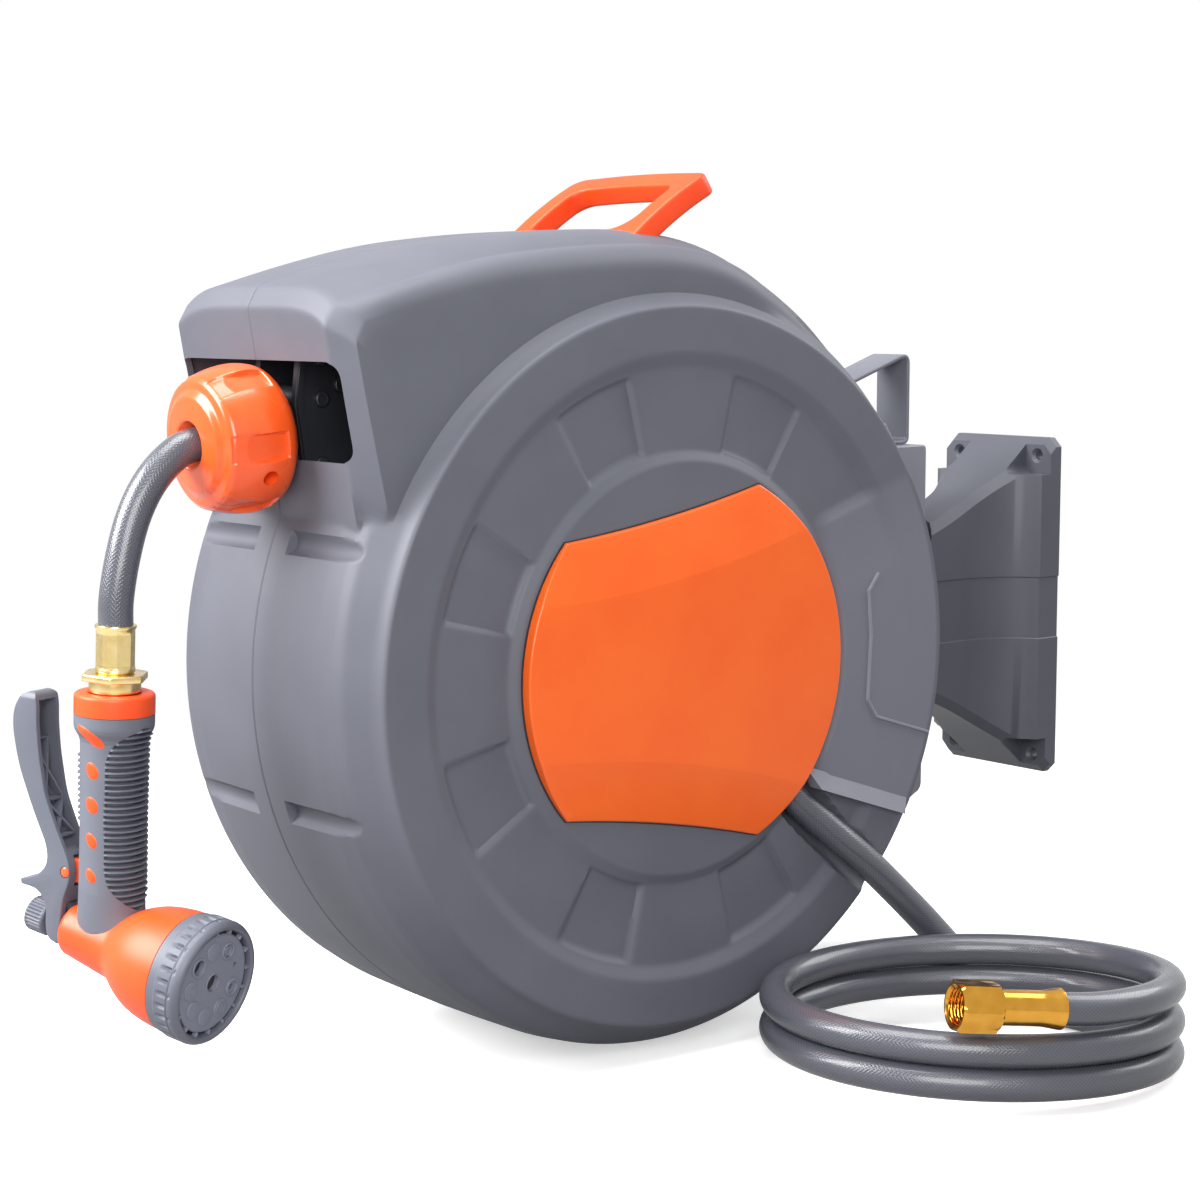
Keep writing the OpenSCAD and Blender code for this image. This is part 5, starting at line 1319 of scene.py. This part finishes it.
knob = resampled(filleted([[4.3, -40], [8.6, -40], [9.5, -41], [9.5, -52], [8.4, -53], [0, -53.3]],
                          [0, 0.6, 0.6, 0.8, 0.8, 0], 4), 44)
verts, faces = turned_part(knob, 168, ON_BARREL, BARREL, knurled(28, 0.8, -51.6, -41.4))
put_mesh("flow_knob_knurled", verts, faces, "lever", "knob", ("flow_knob",), edge_angle=50)


def dial_flutes(ang, r, s):
    """Wedge flutes round the dial: 32 tapered notches that deepen towards the front of the
    knurled band, with 16 small notches in the front rim."""
    wave = np.clip(np.cos(32 * ang) * 1.6 - 0.3, 0, 1)
    wedge = smoothstep(55.6, 62.5, s) * smoothstep(63.6, 62.9, s)
    notch = np.clip(np.cos(16 * ang) * 8 - 6.6, 0, 1) * smoothstep(64.6, 65, s) * smoothstep(66.4, 66, s)
    return r - (1.5 * wedge * wave + 0.7 * notch) * (r > 29)


dial = resampled(filleted([
    [30.5, 50.3], [31.9, 50.3], [32.2, 51], [32.2, 55.2], [33.1, 55.8], [33.1, 63.8], [32.5, 64.4],
    [33.2, 65.2], [33.0, 67.6], [31.6, 69.6], [30.4, 70.3], [29.2, 70.0], [28.5, 69.0], [28.2, 66.5]],
    [0, 0.4, 0.4, 0.4, 0.4, 0.4, 0.4, 0.5, 1.5, 1, 0.6, 0.6, 0.6, 0], 4), 120)
nozzle_turned("spray_dial_fluted", np.vstack([dial, [[28.2, 60], [28.2, 50.3]]]), 384, "lever",
              ("spray_dial",), ON_BARREL, BARREL, dial_flutes, "dial")


def spray_face():
    """Face plate with a centre hole and a ring of nine spray outlets: plain discs, rings and
    holes; sixteen tabs bridge the slot round its rim. A dark ring in the slot and dark discs at the
    bottoms of the holes are painted shade."""
    def spot(k, r=18.0):
        """Place of the numbered outlet on its circle, one every 40 degrees."""
        c, s = deg_cos_sin(20 + 40 * k)
        return BARREL + r * (c * NY + s * BZ)

    face = filleted([[0, 67.3], [20, 67.5], [25.4, 67.9], [26.4, 67.4], [26.4, 62], [0, 62]],
                    [0, 4, 0.6, 0.6, 0, 0], 4)
    verts, faces = turned_part(face, 96, ON_BARREL, BARREL)
    obj = put_mesh("spray_face_plate", verts, faces, "dial", "dial", ("spray_face",))
    holes = ((4.4, 63.4, BARREL, 40), (4.0, 63.4, spot(3), 36), (1.5, 64, spot(8, 17.2), 20),
             (1.9, 64, spot(0), 3))
    for r, low, at, sides in holes:
        carve(obj, rod_part(r, low, 72, ON_BARREL, at, sides))
    mark_sharp(obj.data, 35)
    parts, foot = [], 66.8

    def ring(at, r_in, r_out, top):
        """Low raised ring on the face."""
        line = filleted([[r_in, foot], [r_in, top], [r_out, top], [r_out, foot]], 0.35, 3)
        parts.append(turned_part(line, 40, ON_BARREL, at))

    def disc(at, r, top):
        """Low raised disc on the face."""
        line = filleted([[0, top], [r, top], [r, foot]], 0.4, 3)
        parts.append(turned_part(line, 40, ON_BARREL, at))

    ring(BARREL, 4.5, 5.2, 67.9)
    for k, r_in, r_out in ((1, 3.6, 4.7), (3, 4.1, 5.2), (8, 3.4, 4.9)):
        ring(spot(k), r_in, r_out, 68.5)
    ring(spot(1), 1.9, 2.6, 68.3)
    for k in (2, 4, 5, 6, 7):
        disc(spot(k), 5.0, 68.2)
    ring(spot(7), 3.1, 3.5, 68.5)
    ring(spot(4), 2.2, 2.6, 68.5)
    for k in range(16):
        c, s = deg_cos_sin(22.5 * k + 5)
        u, v = c * NY + s * BZ, c * BZ - s * NY
        bar = round_rect(-0.8, 0.8, 26.0, 28.6, (0.2,) * 4, side=1, arc=2)
        parts.append(plate_part(bar, 65.6, 68.4, 0.2, (v, u, BX), BARREL, 1))
    verts, faces = join_parts(parts)
    put_mesh("spray_face_outlets", verts, faces, "dial", "dial", edge_angle=40)
    # Painted shade: a dark ring in the slot behind the face and dark discs at the bottoms of the holes.
    slot = [[20, 63.2], [28.4, 63.2], [28.4, 62.6], [20, 62.6], [20, 63.2]]
    shade_pieces = [turned_part(slot, 96, ON_BARREL, BARREL)]
    shade_pieces += [rod_part(r - 0.1, 64.2, 65, ON_BARREL, at, 32) for r, _, at, _ in holes]
    verts, faces = join_parts(shade_pieces)
    put_mesh("spray_face_painted_shade", verts, faces, "shade", "dial", edge_angle=30)


spray_face()


# Inlet end, guide and drum

TAIL_SIDE = unit(np.cross(Z, TAIL_DIR))
ON_TAIL = (TAIL_SIDE, np.cross(TAIL_DIR, TAIL_SIDE), TAIL_DIR)
inlet = resampled(filleted([
    [9.05, 0], [11.1, 0], [11.0, 1.6], [9.9, 8.5], [9.5, 12], [9.5, 37], [5, 37]],
    [0, 0.5, 1, 3, 2, 0.5, 0], 5), 60)
verts, faces = turned_part(np.vstack([inlet, [[5, 0], [9.05, 0]]]), 72, ON_TAIL, COIL_END)
inlet_ferrule = put_mesh("inlet_ferrule_flared", verts, faces, "gold", "case",
                         ("inlet_ferrule",), edge_angle=40)


def inlet_nut():
    """Hexagonal coupling nut: the prism's corners are cut back by a cone at both ends, and its
    bore carries a thread's ripple."""
    sides, back, pitch = 144, 37.3, 1.9
    t = np.linspace(0, 2 * np.pi, sides, endpoint=False)
    flat = 12.5 / np.cos((t % (np.pi / 3)) - np.pi / 6)
    rows = [(back, 10.5, 0), (back, 12.4, 0), (38.6, 14.5, 1), (47, 14.5, 1), (59.6, 14.5, 1),
            (60.9, 12.6, 0), (61, 11.4, 0), (60.4, 10.4, 0)]
    ring = np.stack([np.minimum(flat, r) if on else np.full_like(t, r) for _, r, on in rows])
    level = np.array([s for s, _, _ in rows])
    bore = np.linspace(60, 49, 56)
    thread = 10.0 - 0.55 * np.cos(2 * np.pi * bore[:, None] / pitch - t)
    ring = np.vstack([ring, thread, np.full((2, sides), 9.4), np.zeros((1, sides))])
    level = np.concatenate([level, bore, [48.8, 48, 48]])
    ex, ey, ez = ON_TAIL
    verts = (COIL_END + (ring * np.cos(t))[..., None] * ex + (ring * np.sin(t))[..., None] * ey
             + level[:, None, None] * ez)
    verts = np.concatenate([np.broadcast_to(COIL_END + back * ez, (1, sides, 3)), verts])
    return put_mesh("inlet_nut_hex", verts, grid_faces(*verts.shape[:2], wrap_cols=True), "gold",
                    "nut", ("inlet_nut",), edge_angle=28)


inlet_nut_piece = inlet_nut()

softened("guide_carriage_plates", "guide_carriage", "guide", "guide", 1.0)


def guide_dress():
    """Raised rims and screw bosses on both outer faces of the guide's side plates."""
    shares = np.array([[0, 0], [0.393, 0.045], [0.438, 0.236], [0.427, 1], [-0.045, 1], [-0.09, 0.573]])
    outline = np.array([-196.0, 99.0]) + 89 * shares
    parts = []
    for side in (1, -1):
        axes = ABOUT_X if side > 0 else (Z, Y, -X)
        o = filleted_loop(outline, 4, 4)
        n = outline_normals(o)
        outer, inner = o - 0.4 * n, o - 3.6 * n
        cols = [(outer, 20.5), (outer, 22.6), (inner, 22.6), (inner, 20.5)]
        flat = np.stack([c for c, _ in cols], axis=1)
        level = np.broadcast_to([h for _, h in cols], flat.shape[:2])
        verts = np.stack([side * level, flat[..., 0], flat[..., 1]], axis=-1)
        parts.append((verts, grid_faces(*flat.shape[:2], wrap_rows=True, wrap_cols=True).tolist()))
        for y, z in ((-188, 117.9), (-188, 152.4), (-188, 174), (-176, 160)):
            boss = filleted([[0, 23.2], [2.2, 23.2], [3.6, 23.6], [4.4, 22.6], [4.4, 20.5]], 0.5, 3)
            parts.append(turned_part(boss, 28, axes, (0, y, z)))
    verts, faces = join_parts(parts)
    put_mesh("guide_carriage_rims", verts, faces, "guide", "guide", edge_angle=35)


guide_dress()

ROLLER_Y, ROLLER_APART = -188.0, 16.8


def guide_roller(name, z, body, node):
    """Spool on its pin: a waist that grows as the square of the station, between two rims."""
    half, waist, end = 16.6, 14.6, 21
    x = np.linspace(-half, half, 41)
    r = np.where(np.abs(x) > waist, 7.5, 6.4 + 0.9 * (x / waist) ** 2)
    line = np.vstack([[[0, -end], [3, -end], [3, -half]], np.stack([r, x], axis=1),
                      [[3, half], [3, end], [0, end]]])
    verts, faces = turned_part(line, 48, ABOUT_X, (0, ROLLER_Y, z))
    put_mesh(name, verts, faces, "guide", body, (node,), edge_angle=40)


roller_mid = STOP_AT[2] + (ROLLER_Y - STOP_AT[1]) * np.tan(np.radians(LINE_DIP))
guide_roller("guide_spool_upper", roller_mid + ROLLER_APART, "roller_upper", "guide_roller_upper")
guide_roller("guide_spool_lower", roller_mid - ROLLER_APART, "roller_lower", "guide_roller_lower")


def hose_layers():
    """Hose layers under the outer one: a tube whose skin repeats the turns as half circles of the
    hose's radius, one for each pitch."""
    half, bore, sides, girth = LAYERS_HALF, 76, 120, 56.5
    x = np.linspace(-half, half, WIND_TURNS * 14 + 1)
    u = ((x + WIND_TURNS * WIND_PITCH / 2) / WIND_PITCH) % 1 - 0.5
    r = LAYERS_R - HOSE_R + np.sqrt(np.clip(HOSE_R ** 2 - (u * 2 * HOSE_R) ** 2, 0, None))
    line = np.vstack([[[bore, -half]], np.stack([r, x], axis=1), [[bore, half], [bore, -half]]])
    verts, faces = turned_part(line, sides, ABOUT_X)
    around = np.arange(sides) / sides * 2 * np.pi * 140
    across = run_length(line)[:, None] / girth
    uv = np.stack(np.broadcast_arrays(across, around[None]), axis=-1).reshape(-1, 2)
    put_mesh("hose_layers", verts, faces, "hose", "drum", ("hose_core",), uv=uv, recalc=False)


hose_layers()
